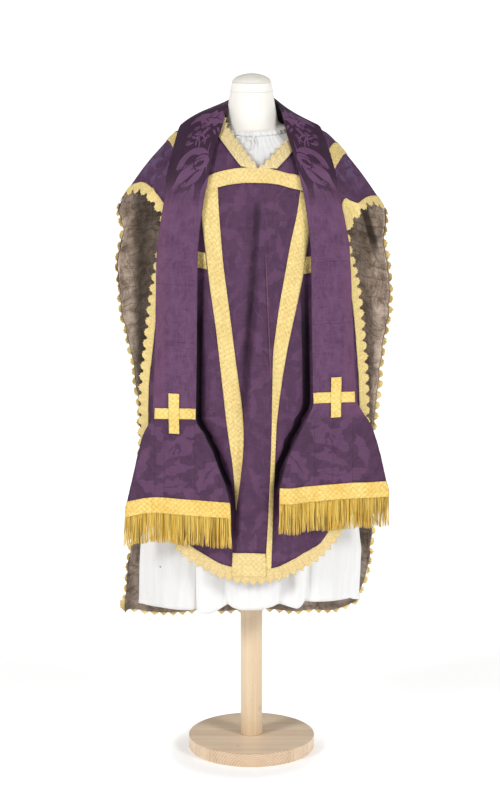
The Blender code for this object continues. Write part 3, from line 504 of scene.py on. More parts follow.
# ---------- materials ----------
class Value:
    """A shader value that adds math nodes as it is reckoned with."""

    def __init__(self, tree, socket):
        self.tree, self.socket = tree, socket

    def op(self, kind, *others):
        node = self.tree.nodes.new("ShaderNodeMath")
        node.operation = kind
        for slot, value in zip(node.inputs, (self, *others)):
            feed(self.tree, slot, value)
        return Value(self.tree, node.outputs[0])

    def __rsub__(self, other):
        return self.op("MULTIPLY_ADD", -1.0, other)

    def ramp(self, start, end):
        """0 at start and 1 at end, eased and clamped."""
        node = self.tree.nodes.new("ShaderNodeMapRange")
        node.interpolation_type = "SMOOTHSTEP"
        feed(self.tree, node.inputs[0], self)
        node.inputs[1].default_value, node.inputs[2].default_value = start, end
        return Value(self.tree, node.outputs[0])

    def near(self, start, end):
        """1 within start of 0, and nothing past end."""
        return 1 - self.size().ramp(start, end)


for method, kind in {
    "__add__": "ADD", "__radd__": "ADD", "__sub__": "SUBTRACT", "__mul__": "MULTIPLY", "__rmul__": "MULTIPLY",
    "__truediv__": "DIVIDE", "__pow__": "POWER", "sin": "SINE", "size": "ABSOLUTE", "root": "SQRT",
    "lower": "MINIMUM", "upper": "MAXIMUM", "fract": "FRACT",
}.items():
    setattr(Value, method, functools.partialmethod(Value.op, kind))


def feed(tree, slot, value):
    """Links a value to a socket, or sets the socket to a number."""
    if isinstance(value, Value):
        tree.links.new(value.socket, slot)
    else:
        slot.default_value = value


class Look:
    """A material under construction: its shader, and its UV and object coordinates in metres."""

    def __init__(self, name, roughness=0.6, **constants):
        self.material = bpy.data.materials.new(name)
        self.material.use_nodes = True
        self.tree = self.material.node_tree
        self.shader = self.tree.nodes["Principled BSDF"]
        self.shader.inputs["Roughness"].default_value = roughness
        for key, value in constants.items():
            self.shader.inputs[key.replace("_", " ")].default_value = value
        self.coordinates = self.tree.nodes.new("ShaderNodeTexCoord")

    def split(self, kind):
        node = self.tree.nodes.new("ShaderNodeSeparateXYZ")
        self.tree.links.new(self.coordinates.outputs[kind], node.inputs[0])
        return [Value(self.tree, s) for s in node.outputs]

    def join(self, x, y, z=0.0):
        node = self.tree.nodes.new("ShaderNodeCombineXYZ")
        for slot, value in zip(node.inputs, (x, y, z)):
            feed(self.tree, slot, value)
        return node.outputs[0]

    def noise(self, x, y, z=0.0, detail=2.0, rough=0.5):
        node = self.tree.nodes.new("ShaderNodeTexNoise")
        node.inputs["Scale"].default_value = 1.0
        node.inputs["Detail"].default_value = detail
        node.inputs["Roughness"].default_value = rough
        self.tree.links.new(self.join(x, y, z), node.inputs["Vector"])
        return Value(self.tree, node.outputs["Fac"])

    def cells(self, x, y):
        node = self.tree.nodes.new("ShaderNodeTexVoronoi")
        node.inputs["Scale"].default_value = 1.0
        self.tree.links.new(self.join(x, y), node.inputs["Vector"])
        return Value(self.tree, node.outputs["Distance"])

    def mix(self, share, first, second):
        """A colour between two, each a colour or a socket."""
        node = self.tree.nodes.new("ShaderNodeMix")
        node.data_type = "RGBA"
        feed(self.tree, node.inputs["Factor"], share)
        for slot, colour in ((node.inputs[6], first), (node.inputs[7], second)):
            if isinstance(colour, tuple):
                slot.default_value = (*colour, 1)
            else:
                self.tree.links.new(colour, slot)
        return node.outputs[2]

    def bump(self, height, distance, strength=1.0):
        node = self.tree.nodes.new("ShaderNodeBump")
        node.inputs["Strength"].default_value = strength
        node.inputs["Distance"].default_value = distance
        feed(self.tree, node.inputs["Height"], height)
        self.tree.links.new(node.outputs[0], self.shader.inputs["Normal"])

    def finish(self, colour, roughness=None):
        self.tree.links.new(colour, self.shader.inputs["Base Color"])
        if roughness is not None:
            feed(self.tree, self.shader.inputs["Roughness"], roughness)
        return self.material


def leaf(x, y, cx, cy, angle, length, width, bend=0.0, teeth=0.0):
    """Above 0 inside a pointed leaf of a half length and half width, bent and toothed."""
    c, s = math.cos(math.radians(angle)), math.sin(math.radians(angle))
    p = (x * c + y * s - (cx * c + cy * s)) / length
    q = y * c - x * s - (cy * c - cx * s)
    if bend:
        q = q - p * p * bend
    half = (1 - p * p) * width
    if teeth:
        half = half * (1 + (p * teeth).sin() * 0.22)
    return half - q.size()


def disc(x, y, cx, cy, radius):
    """Above 0 inside a disc."""
    dx, dy = x - cx, y - cy
    return radius - (dx * dx + dy * dy).root()


def blossom(x, y, cx, cy, radius, petals=5):
    """A flower's outline with a small ring inside it."""
    dx, dy = x - cx, y - cy
    away = (dx * dx + dy * dy).root()
    edge = ((dy.op("ARCTAN2", dx) * float(petals)).sin() * 0.24 + 0.86) * radius
    return (edge - away).lower((away - radius * 0.3).size() - radius * 0.09)


def stroke(x, y, cx, cy, radius, start, end, width):
    """A curved stem: part of a ring round (cx, cy) between two angles."""
    dx, dy = x - cx, y - cy
    middle, half = math.radians((start + end) / 2), math.radians((end - start) / 2)
    away = (dx * dx + dy * dy).root()
    along_it = dx * math.cos(middle) + dy * math.sin(middle) - away * math.cos(half)
    return (width - (away - radius).size()).lower(along_it)


# Each figure is drawn from leaves (x, y, angle, half length, half width, bend, teeth), stems (x, y, radius,
# first angle, last angle, width), flowers (x, y, radius, petals) and discs (x, y, radius), in metres.
DAMASK = {
    "leaf": [
        (0.024, 0.037, -14, 0.034, 0.02, 0.004, 13), (0.058, 0.026, 30, 0.022, 0.008, 0.004, 9),
        (0.006, 0.072, -60, 0.01, 0.0022), (0.012, 0.078, -60, 0.01, 0.0022),
        (0.04, 0.098, -68, 0.03, 0.0017, 0.004), (0.052, 0.086, -30, 0.014, 0.0026),
        (0.034, 0.076, -115, 0.013, 0.0026), (0.06, 0.1, -5, 0.01, 0.003),
        (0.028, 0.098, -140, 0.01, 0.003), (0.05, 0.166, 29, 0.044, 0.015, 0.006),
        (0.031, 0.186, 41, 0.031, 0.008, -0.008), (0.011, 0.142, 92, 0.036, 0.0018, 0.003),
        (0.034, 0.238, 93, 0.042, 0.012, 0.006), (0.004, 0.222, 90, 0.042, 0.007, 0.004),
        (0.066, 0.228, 24, 0.03, 0.012, -0.008, 12), (0.046, 0.296, -62, 0.036, 0.013, 0.01, 17),
        (0.018, 0.292, 60, 0.034, 0.01, 0.008, 15), (0.078, 0.352, 78, 0.03, 0.008, -0.006, 14),
        (0.06, 0.392, -34, 0.034, 0.013, 0.008, 17), (0.016, 0.388, 24, 0.026, 0.01, -0.006, 13),
        (0.086, 0.408, 96, 0.018, 0.006, 0.003),
    ],
    "stroke": [
        (0.06, 0.112, 0.036, -178, -95, 0.0016), (0.002, 0.1, 0.044, -50, 12, 0.0015),
        (0.044, 0.154, 0.03, -172, -8, 0.0085), (0.03, 0.336, 0.026, 100, 290, 0.0022),
        (0.03, 0.336, 0.017, 60, 260, 0.0018), (0.074, 0.33, 0.02, -120, 60, 0.0022),
    ],
    "blossom": [
        (0.068, 0.074, 0.006), (0.055, 0.06, 0.0062), (0.041, 0.058, 0.0064), (0.029, 0.067, 0.0056),
        (0.023, 0.09, 0.0054), (0.066, 0.094, 0.0058), (0.048, 0.074, 0.005), (0.074, 0.149, 0.0075, 6),
        (0.06, 0.154, 0.005), (0.058, 0.19, 0.0066), (0.072, 0.196, 0.0056), (0.036, 0.368, 0.006),
        (0.048, 0.35, 0.0055),
    ],
    "disc": [
        (0.022, 0.153, 0.0165), (0.068, 0.272, 0.017),
    ],
}
DAMASK_HOLES = {
    "leaf": [
        (0.026, 0.157, 22, 0.0125, 0.0048), (0.038, 0.158, -6, 0.008, 0.0012),
        (0.039, 0.163, 18, 0.0085, 0.0012), (0.052, 0.184, 31, 0.04, 0.0016, 0.006),
        (0.044, 0.15, 18, 0.03, 0.0014, 0.004), (0.018, 0.23, 92, 0.024, 0.004, 0.003),
        (0.024, 0.037, -14, 0.024, 0.0013, 0.004), (0.03, 0.03, 40, 0.01, 0.0014),
        (0.016, 0.034, 70, 0.009, 0.0013), (0.036, 0.04, 120, 0.009, 0.0013),
        (0.046, 0.296, -62, 0.026, 0.0013, 0.01), (0.06, 0.392, -34, 0.024, 0.0013, 0.008),
    ],
    "stroke": [
        (0.022, 0.153, 0.018, -150, 60, 0.0013),
    ],
    "disc": [
        (0.03, 0.336, 0.0075),
    ],
}
FRONT = {
    "leaf": [
        (0.02, 0.03, 70, 0.034, 0.0105, 0.006, 13), (0.058, 0.052, 20, 0.028, 0.009, 0.004, 13),
        (0.03, 0.11, -40, 0.038, 0.012, 0.008, 11), (0.068, 0.128, 80, 0.03, 0.008, -0.004, 11),
        (0.014, 0.17, 100, 0.03, 0.0085, 0.005, 13), (0.058, 0.195, -20, 0.032, 0.0105, 0.006, 11),
        (0.03, 0.235, 40, 0.028, 0.0085, 0.004, 13), (0.07, 0.262, 110, 0.028, 0.008, 0.004, 13),
        (0.04, 0.08, 80, 0.04, 0.0016, 0.012), (0.046, 0.16, -70, 0.04, 0.0016, 0.01),
        (0.02, 0.265, 60, 0.034, 0.0016, 0.008), (0.074, 0.02, 120, 0.026, 0.0016, 0.008),
    ],
    "blossom": [
        (0.048, 0.092, 0.006), (0.01, 0.088, 0.005), (0.076, 0.086, 0.006), (0.04, 0.15, 0.005),
        (0.078, 0.172, 0.006), (0.034, 0.204, 0.0055), (0.012, 0.216, 0.005), (0.05, 0.284, 0.006),
    ],
}
SPADE = {
    "leaf": [
        (-0.004, 0.066, 32, 0.05, 0.024, 0.004, 9), (-0.004, 0.107, 20, 0.044, 0.01, 0.006, 11),
        (-0.074, 0.113, 55, 0.046, 0.017, 0.006, 11), (0.002, 0.145, 12, 0.036, 0.015, -0.006, 11),
        (0.066, 0.095, 70, 0.04, 0.011, 0.004, 9), (-0.04, 0.022, 30, 0.032, 0.011, 0.004, 9),
        (0.046, 0.148, -30, 0.032, 0.013, 0.004, 9), (0.032, 0.03, -50, 0.026, 0.01, 0.004, 9),
        (-0.04, 0.16, -40, 0.03, 0.012, 0.004, 9), (-0.09, 0.16, 60, 0.026, 0.01, 0.004, 9),
    ],
}
SPADE_HOLES = {
    "leaf": [
        (-0.004, 0.068, 70, 0.012, 0.002), (-0.014, 0.068, 80, 0.012, 0.0018),
        (0.004, 0.064, 50, 0.01, 0.0018), (-0.002, 0.086, 24, 0.03, 0.005, 0.003, 6),
        (-0.074, 0.113, 55, 0.034, 0.0016, 0.006), (0.002, 0.145, 12, 0.026, 0.0016, -0.006),
    ],
    "disc": [
        (-0.01, 0.058, 0.0062),
    ],
}


def union(x, y, figure):
    """Above 0 inside any of a figure's shapes."""
    kinds = {"leaf": leaf, "stroke": stroke, "blossom": blossom, "disc": disc}
    shapes = [kinds[kind](x, y, *numbers) for kind, rows in figure.items() for numbers in rows]
    return functools.reduce(Value.upper, shapes)


def shaken(look, value, x, y, scale, seed, amount, detail=2.0):
    """A coordinate moved to and fro, so that a figure's outline is not too clean."""
    return value + (look.noise(x * scale, y * scale, seed, detail) - 0.5) * amount


def repeated(x, y, half, tall):
    """Coordinates mirrored across and repeated down."""
    return x.op("PINGPONG", half), (y / tall).fract() * tall


def damask_figure(look, x, y):
    """The woven figure: 1 inside leaves, scrolls and flowers, mirrored across and repeated down."""
    x = shaken(look, x, x, y, 42.0, 0.0, 0.007)
    y = shaken(look, y, x, y, 42.0, 5.0, 0.007)
    x, y = repeated(x, y, 0.095, 0.42)
    return union(x, y, DAMASK).lower(0 - union(x, y, DAMASK_HOLES)).ramp(-0.0004, 0.0004)


def front_figure(look, x, y):
    """A finer figure of serrated leaves, tendrils and flowers for the chasuble's silk."""
    x = shaken(look, x, x, y, 22.0, 1.0, 0.03)
    y = shaken(look, y, x, y, 22.0, 6.0, 0.03)
    x = shaken(look, x, x, y, 150.0, 2.0, 0.006)
    return union(*repeated(x, y, 0.088, 0.3), FRONT).ramp(-0.0008, 0.0008)


def spade_figure(look, x, z, right):
    """The large leaves on the stole's ends, across and down from each cross."""
    across = x.size() - 0.1663 - right * 0.004
    down = FLARE_TOP - z + right * (RIGHT_RISE - 0.008)
    across = shaken(look, across, x, z, 60.0, 3.0, 0.01)
    down = shaken(look, down, x, z, 60.0, 8.0, 0.01)
    across = shaken(look, across, x, z, 210.0, 4.0, 0.007, 1.0)
    return union(across, down, SPADE).lower(0 - union(across, down, SPADE_HOLES)).ramp(-0.0005, 0.0005)


def gap_mask(x, z, right):
    """Deep shade on the front beside the stole's inner edges: 1 at its middle."""
    masks = []
    for mirror, soft in ((-1, 0.0075), (1, 0.009)):
        flare_top = FLARE_TOP + (RIGHT_RISE if mirror > 0 else 0)
        (top, _), (foot, _) = STOLE_TOP[mirror], STOLE_FOOT[mirror]
        line = top + z.ramp(STOLE_HINGE, flare_top) * (foot - top)
        knots = FLARE[mirror][1::2]
        before = (0.0, 0.0)
        for below, opened, _ in knots:
            line = line - z.ramp(flare_top - before[0], flare_top - below) * (opened - before[1])
            before = (below, opened)
        away = line - x.size() - soft * 0.75
        core = away.near(soft * 0.75, soft * 1.05)
        side = right if mirror > 0 else 1 - right
        masks.append(core * side * (1 - z.ramp(0.95, 1.12)) * z.ramp(0.585, 0.64))
    return (masks[0] + masks[1]) * 0.92


# The heights of the seams across each side of the stole, and the places of those up its ends.
CROSS_SEAMS = ((1.055, 0.934), (1.103, 0.973))
END_SEAMS = (-0.2053, -0.1845, -0.1198, 0.1325, 0.172, 0.214)


def stole_seams(look, x, z, right, spade):
    """The dark lines of the stole's piecing."""
    lines = 0.0
    for side, places in zip((1 - right, right), CROSS_SEAMS):
        for place in places:
            wander = look.noise(x * 60.0, 0.0, place) * 0.004
            broken = look.noise(x * 140.0, 3.0, place).ramp(0.4, 0.55)
            lines = lines + side * broken * (z - place + wander - 0.002).near(0.0002, 0.0011) * 0.45
    for place in END_SEAMS:
        lines = lines + (x - place).near(0.0001, 0.0008) * spade * 0.42
    return lines


def pleat_crease_lines(x, z):
    """A pale pink line along the pleat's slanting right crease, and painted shade in a dark line beside it.
    """
    run = x - 0.0309 - (1.08 - z) * 0.0425
    within = z.ramp(0.86, 0.9) * (1 - z.ramp(1.08, 1.14))
    return run.near(0.0003, 0.0011) * within * 0.55, (run + 0.0022).near(0.0004, 0.0018) * within * 0.5


def damask(name, stole=False):
    """Purple silk damask. Its figure shows most on the stole's shoulders, a painted sheen, and is faint lower
    down.
    """
    look = Look(name, 0.5, Specular_IOR_Level=0.16, Sheen_Weight=0.05, Sheen_Roughness=0.4)
    look.shader.inputs["Sheen Tint"].default_value = (0.75, 0.6, 0.85, 1)
    u, v, _ = look.split("UV")
    x, y, z = look.split("Object")
    figure = damask_figure(look, u, v - 0.165) if stole else front_figure(look, u + 0.012, v + 0.1)
    mottle = look.noise(u * 38.0 + v * 14.0, v * 30.0 - u * 12.0, 2.0, 4.0, 0.62)
    cloud = look.noise(u * 10.0, v * 6.0, 9.0, 3.0)
    feather = look.noise(u * 85.0 + look.noise(u * 20.0, v * 20.0) * 5.0, v * 34.0, 6.0, 3.0, 0.6)
    thread = look.noise(u * 500.0, v * 20.0, 0.0, 2.0) * 0.5 + look.noise(u * 22.0, v * 620.0, 0.0, 2.0) * 0.5
    right = x.ramp(-0.0005, 0.0005)
    if stole:
        # Painted sheen: on the shoulders the ground is darker and the figure stronger.
        high = z.ramp(1.205, 1.285)
        spade = 1 - z.ramp(0.765, 0.785)
        strength = high.upper(spade * (cloud.ramp(0.35, 0.65) * 0.34 + 0.34)).upper(0.24)
        dim = high * 0.72 + spade * 0.34 + 0.06
        figure = figure * (1 - spade) + spade_figure(look, x, z, right) * spade
    else:
        high = z.ramp(1.2, 1.3)
        strength = cloud.ramp(0.35, 0.65) * 0.34 + 0.2
        dim = 0.26 + feather.ramp(0.35, 0.6) * 0.16
    base = look.mix(mottle.ramp(0.36, 0.64), PURPLE_DEEP, PURPLE)
    base = look.mix(feather.ramp(0.46, 0.62) * 0.45, base, PURPLE_LIT)
    base = look.mix(thread.ramp(0.38, 0.62) * 0.45, base, PURPLE_LIT)
    base = look.mix(dim, base, PURPLE_DARK)
    lit = look.mix(thread.ramp(0.34, 0.66) * 0.6, PURPLE, PURPLE_LIT)
    lit = look.mix(cloud.ramp(0.4, 0.7) * 0.35, lit, PURPLE_DEEP)
    colour = look.mix(figure * strength, base, lit)
    colour = look.mix((1 - figure) * strength * 0.3, colour, PURPLE_DARK)
    if stole:
        lines = stole_seams(look, x, z, right, spade)
        colour = look.mix(u.ramp(0.0715, 0.0725) * (1 - high) * (1 - spade) * 0.3, colour, PURPLE_ROSE)
    else:
        # The pleat crease's pale line, and a dark line of painted shade beside it.
        bright, lines = pleat_crease_lines(x, z)
        colour = look.mix(bright, colour, (0.33, 0.15, 0.17))
        # Painted shade in the valley left of the pleat, and beside the stole's inner edges (gap_mask).
        valley = x - 0.0045 + (1.02 - z) * 0.075
        valley_shade = (valley + 0.006).near(0.002, 0.012) * z.ramp(0.62, 0.95) * (1 - z.ramp(1.2, 1.27))
        ahead = 1 - y.ramp(-0.01, 0.01)
        lines = lines.upper(valley_shade * 0.55).upper(gap_mask(x, z, right) * ahead)
        # Painted sheen: lavender streaks on the front's shoulders.
        yoke = high * x.size().ramp(0.13, 0.17) * feather.ramp(0.48, 0.58)
        colour = look.mix(yoke * 0.45, colour, (0.165, 0.11, 0.235))
    # Near black where lines is high: on the stole its seams, on the front painted shade.
    colour = look.mix(lines, colour, (0.01, 0.005, 0.01))
    weave_relief = (u * 5200.0).sin() * 0.15 + (v * 5200.0).sin() * 0.15 + thread * 0.5
    weave_relief = weave_relief + figure * strength * 0.6
    crease = look.noise(u * 46.0, v * 78.0, 3.0, 3.0, 0.55)
    look.bump(weave_relief * 0.0003 + crease * (0.002 if stole else 0.0032), 1.0, 0.8)
    return look.finish(colour, 0.56 - figure * strength * 0.1)


def linen(name, light, dark):
    """Glazed linen: slubbed, clouded and sharply creased, with painted shade in its creases, by the lace, low
    down and in a fold.
    """
    look = Look(name, 0.62, Specular_IOR_Level=0.35, Sheen_Weight=0.15, Sheen_Roughness=0.5)
    u, v, _ = look.split("UV")
    slub = look.noise(u * 60.0, v * 900.0, 0.0, 2.0) * 0.5 + look.noise(u * 900.0, v * 60.0, 4.0, 2.0) * 0.5
    cloud = look.noise(u * 13.0, v * 9.0, 1.0, 4.0, 0.6)
    blotch = look.noise(u * 60.0, v * 60.0, 5.0, 4.0, 0.65)
    warp = look.noise(u * 11.0, v * 11.0, 2.0, 2.0) * 0.05
    folds = look.noise((u + warp) * 18.0, (v + warp) * 46.0, 7.0, 3.0, 0.5)
    sharp = (folds - 0.5).near(0.0, 0.035)
    upright = look.noise((u + warp) * 52.0, (v + warp) * 9.0, 3.0, 2.0)
    streak = (upright - 0.5).near(0.0, 0.03)
    share = cloud.ramp(0.3, 0.7) * 0.45 + slub.ramp(0.38, 0.62) * 0.2 + blotch.ramp(0.35, 0.65) * 0.35
    # Painted shade: darker along the sharp creases and upright streaks.
    share = share * (1 - sharp * 0.65) * (1 - streak * 0.5)
    x, _, z = look.split("Object")
    # Painted shade: darker near the lace at the front's sides, and low down where the tunic shades the
    # lining.
    wide = x.size() + (cloud - 0.5) * 0.03
    deep = 1 - (wide - (1.12 - z).size() * 0.05).ramp(0.236, 0.262)
    upper = z.ramp(0.5, 0.62)
    shadow = (deep * 0.6 * (1 - x.ramp(0.0, 0.01) * 0.5)) * upper + (1 - upper) * 0.62
    # Painted shade of a diagonal fold high up at +X.
    diagonal_fold_shade = (x - 0.25 - (1.165 - z) * 0.28).near(0.004, 0.013) * z.ramp(1.06, 1.13)
    shadow = shadow.upper(diagonal_fold_shade * 0.85)
    relief = folds * 0.008 + upright * 0.005 + blotch * 0.0006 + slub * 0.0003
    look.bump(relief, 1.0, 0.8)
    return look.finish(look.mix(shadow, look.mix(share, dark, light), (0.032, 0.021, 0.014)))


def gold(name, light, deep, pattern="pebble", contrast=0.8):
    """Woven gold braid: pebbled, or with a lozenge lattice."""
    look = Look(name, 0.45, Metallic=0.05, Specular_IOR_Level=0.45, Sheen_Weight=0.1, Sheen_Roughness=0.4)
    u, v, _ = look.split("UV")
    grain = look.cells(u * 240.0, v * 240.0)
    thread = (v * 2600.0).sin() * 0.5 + 0.5
    fleck = look.noise(u * 170.0, v * 170.0, 3.0, 2.0, 0.6).ramp(0.42, 0.6)
    worn = look.noise(u * 30.0, v * 18.0, 8.0, 3.0).ramp(0.32, 0.7)

    def slanting(pitch):
        return ((u + v) * (math.pi / pitch)).sin(), ((u - v) * (math.pi / pitch)).sin()

    if pattern == "lattice":
        first, second = slanting(0.0115)
        lines = first.size().lower(second.size()).ramp(0.1, 0.55)
        first, second = slanting(0.0115 / 3)
        figure = lines * 0.45 + (first * second).ramp(-0.2, 0.6) * 0.15 + fleck * 0.4
    else:
        first, second = slanting(0.011)
        figure = fleck * 0.55 + (first * second).size().ramp(0.05, 0.55) * 0.45
    height = figure * 0.8 + grain * 0.4 + thread * 0.15
    tone = (figure * 0.62 + grain.ramp(0.1, 0.75) * 0.14 + worn * 0.24) * contrast + (1 - contrast)
    look.bump(height, 0.0008, 0.9)
    return look.finish(look.mix(tone, deep, light))


def lace_look(name, light, deep, pitch):
    """Gold lace: pebbled threads, with a fan of ribs in each tooth and a dark line up from each notch."""
    look = Look(name, 0.5, Metallic=0.04, Specular_IOR_Level=0.42, Sheen_Weight=0.1, Sheen_Roughness=0.4)
    u, v, _ = look.split("UV")
    knots = look.cells(u * 240.0, v * 240.0)
    swirl = look.noise(u * 210.0, v * 210.0, 2.0, 3.0, 0.65)
    beat = ((v / pitch).fract() - 0.5) * pitch
    fan = ((u * u + beat * beat * 2.0).root() * 1500.0).sin() * 0.5 + 0.5
    edge = (beat.size() - pitch * 0.5 + 0.0014).ramp(0.0, 0.0014) * u.ramp(0.012, 0.02)
    tone = swirl.ramp(0.4, 0.62) * 0.55 + knots.ramp(0.1, 0.7) * 0.25 + fan * 0.2
    tone = (tone * 0.6 + 0.4) * (1 - edge * 0.45)
    look.bump(knots * 0.6 + swirl + fan * 0.5, 0.0008, 0.9)
    return look.finish(look.mix(tone, deep, light))


# The shade in the tunic's hem between its flutes: place, full width, faded width, depth.
COTTON_VALLEYS = [
    (0.087, 0.002, 0.012, 0.75), (-0.076, 0.001, 0.012, 0.3), (0.1265, 0.0004, 0.005, 0.7),
    (-0.045, 0.001, 0.01, 0.3),
]


def cotton(name):
    """White cotton, with an older, creamier width at the left of its front, and painted shade by its seam, on
    its creases and in its hem.
    """
    look = Look(name, 0.85, Specular_IOR_Level=0.2, Sheen_Weight=0.1)
    x, y, z = look.split("Object")
    cloud = look.noise(x * 9.0, y * 9.0, z * 4.0, 3.0)
    slub = look.noise(x * 500.0, y * 500.0, z * 500.0)
    weave = (x * 5200.0).sin() * 0.3 + (z * 5200.0).sin() * 0.3 + slub * 0.8
    crease = look.noise(x * 60.0, y * 60.0, z * 9.0, 3.0)
    look.bump(weave * 0.12 + crease * 1.6, 0.0014, 0.7)
    front, low = 1 - y.ramp(-0.02, 0.0), 1 - z.ramp(0.6, 0.7)
    older = (x * -1.0 - 0.1185).ramp(0.0, 0.0008) * front * low
    # Painted shade: a dark line where the two widths are seamed.
    seam = (x + 0.1205).near(0.0004, 0.0024) * front * (1 - z.ramp(0.43, 0.47))
    spot = disc(x, z, -0.197, 0.4325, 0.0016).ramp(-0.0008, 0.0008) * front
    valleys = sum((x - at).near(start, end) * deep for at, start, end, deep in COTTON_VALLEYS)
    valleys = valleys * front * z.ramp(0.36, 0.41) * (1 - z.ramp(0.455, 0.5))
    # Painted shade: darker on the creases and, below, in the hem's valleys.
    share = cloud.ramp(0.35, 0.75) * 0.2 + crease.ramp(0.45, 0.6) * 0.1
    share = share + older * 0.2 + seam * 0.6 + valleys * 0.65
    colour = look.mix(share.lower(1.0), (0.905, 0.905, 0.905), (0.62, 0.6, 0.56))
    return look.finish(look.mix(spot, colour, (0.08, 0.06, 0.05)))


def canvas(name, light):
    """Stretched off-white canvas."""
    look = Look(name, 0.88, Specular_IOR_Level=0.2, Sheen_Weight=0.15)
    x, y, z = look.split("Object")
    turn = x.op("ARCTAN2", y)
    slub = look.noise(x * 700.0, y * 700.0, z * 700.0)
    weave = (turn * 130.0).sin() * 0.4 + (z * 2700.0).sin() * 0.4 + slub * 0.6
    cloud = look.noise(x * 16.0, y * 16.0, z * 16.0, 3.0)
    wrinkle = look.noise(x * 90.0, y * 90.0, z * 26.0, 2.0).ramp(0.5, 0.8) * (z - 1.466).ramp(0.0, 0.004)
    look.bump(weave * 0.2 + wrinkle * 1.6, 0.001, 0.6)
    # Painted shade: darker on the wrinkles of the neck's cap.
    share = cloud.ramp(0.3, 0.8) * 0.2 + wrinkle * 0.3
    return look.finish(look.mix(share, light, (0.82, 0.78, 0.7)))


def beech(name):
    """Matt varnished beech, with its object coordinates."""
    look = Look(name, 0.38, Specular_IOR_Level=0.45, Coat_Weight=0.15, Coat_Roughness=0.3)
    return look, *look.split("Object")


def turned_beech(name):
    """The pole: long grain, and a small knot near its foot in front."""
    look, x, y, z = beech(name)
    ring = look.noise(x * 90.0, y * 90.0, z * 1.6, 2.0)
    grain = look.noise(x * 420.0, y * 420.0, z * 5.0, 3.0, 0.6)
    fleck = look.noise(x * 600.0, y * 600.0, z * 90.0, 1.0).ramp(0.66, 0.74)
    dx, dz = x - 0.0185, z - 0.092
    away = (dx * dx + dz * dz * 0.45).root()
    eye = ((away * 1800.0).sin() * 0.5 + 0.5) * (1 - away.ramp(0.0028, 0.0055)) * (0 - y).ramp(0.0, 0.01)
    share = ring.ramp(0.35, 0.65) * 0.2 + grain.ramp(0.35, 0.65) * 0.2 + fleck * 0.3 + eye * 0.8
    look.bump(grain, 0.0003, 0.4)
    colour = look.mix(share, (0.81, 0.635, 0.43), (0.58, 0.39, 0.215))
    return look.finish(colour, grain * 0.15 + 0.32)


# The glue lines between the base's staves, from front to back.
STAVE_EDGES = (-0.105, -0.065, -0.022, 0.018, 0.06, 0.103)


def staved_beech(name):
    """The base: staves glued side by side, with end grain showing round the rim."""
    look, x, y, z = beech(name)
    first, *others = STAVE_EDGES
    stave, joint = (y - first).ramp(-0.0001, 0.0001), (y - first).size()
    for at in others:
        stave = stave + (y - at).ramp(-0.0001, 0.0001)
        joint = joint.lower((y - at).size())
    line = 1 - joint.ramp(0.0002, 0.0007)
    tone = (stave * 2.4 + 0.7).sin() * 0.5 + 0.5
    grain = look.noise(x * 7.0 + stave * 3.0, y * 330.0, z * 120.0, 3.0, 0.6)
    cathedral = look.noise(x * 2.2 + stave * 9.0, y * 60.0, stave * 5.0, 2.0)
    fleck = look.noise(x * 130.0, y * 700.0, z * 300.0, 1.0).ramp(0.66, 0.74)
    arc_x, arc_z = x - 0.008, z + 0.008
    arc = (((arc_x * arc_x * 0.55 + arc_z * arc_z).root() * 1500.0).sin() * 0.5 + 0.5) ** 2.0
    rim = (x * x + y * y).root().ramp(0.1362, 0.1376)
    front = rim * (0 - y - 0.108).ramp(0.0, 0.004)
    pores = look.noise(x * 700.0, y * 700.0, z * 30.0, 1.0).ramp(0.6, 0.75) * rim * (1 - front)
    share = tone * 0.2 + grain.ramp(0.3, 0.7) * 0.16 + cathedral.ramp(0.45, 0.6) * 0.1 + fleck * 0.18
    # The rim is darker all round: partly its end grain, partly painted shade that sets its tone against the
    # top's.
    share = share + line * 0.5 + front * arc * 0.35 + pores * 0.3 + rim * 0.22
    bruise = disc(x, y, -0.03, -0.086, 0.0022).ramp(-0.0008, 0.0008) * 0.9
    look.bump(grain - line * 2.0, 0.0003, 0.4)
    colour = look.mix((share + bruise).lower(1.0), (0.96, 0.77, 0.57), (0.54, 0.36, 0.21))
    return look.finish(colour, grain * 0.15 + 0.32)


def metal(name, colour):
    """Brushed steel."""
    look = Look(name, 0.35, Metallic=1.0)
    x, y, z = look.split("Object")
    brushed = look.noise(x * 300.0, y * 300.0, z * 1500.0, 2.0)
    look.bump(brushed, 0.0002, 0.5)
    return look.finish(look.mix(brushed, colour, tuple(c * 0.7 for c in colour)), brushed * 0.25 + 0.25)


def plywood(name):
    """Birch plywood with its plies."""
    look = Look(name, 0.6)
    x, y, z = look.split("Object")
    grain = look.noise(x * 6.0, y * 160.0, z * 40.0, 3.0)
    plies = (z * (2 * math.pi / 0.003)).sin().ramp(-0.2, 0.2)
    look.bump(grain, 0.0003, 0.5)
    return look.finish(look.mix(grain * 0.6 + plies * 0.4, (0.72, 0.54, 0.34), (0.46, 0.3, 0.16)))


def fringe_look(name):
    """Twisted gold thread, darker in patches: painted shade for the gaps between strands."""
    look = Look(name, 0.45, Specular_IOR_Level=0.4)
    x, y, z = look.split("Object")
    strand = look.noise(x * 620.0, y * 300.0, z * 9.0, 1.0)
    twist = ((z + x * 1.4) * 3600.0).sin() * 0.5 + 0.5
    # Painted shade: patches darkened for the gaps between strands.
    strand_shade = look.noise(x * 330.0, y * 200.0, z * 5.0, 1.0).ramp(0.52, 0.62)
    share = strand.ramp(0.38, 0.62) * 0.7 + twist * 0.3
    look.bump(twist, 0.0003, 0.8)
    colour = look.mix(share, (0.78, 0.43, 0.02), (1.000, 0.8, 0.23))
    return look.finish(look.mix(strand_shade * 0.7, colour, (0.26, 0.15, 0.02)))


PURPLE, PURPLE_DEEP, PURPLE_LIT = (0.142, 0.06, 0.132), (0.096, 0.039, 0.092), (0.182, 0.088, 0.182)
PURPLE_DARK, PURPLE_ROSE = (0.028, 0.011, 0.025), (0.185, 0.072, 0.135)

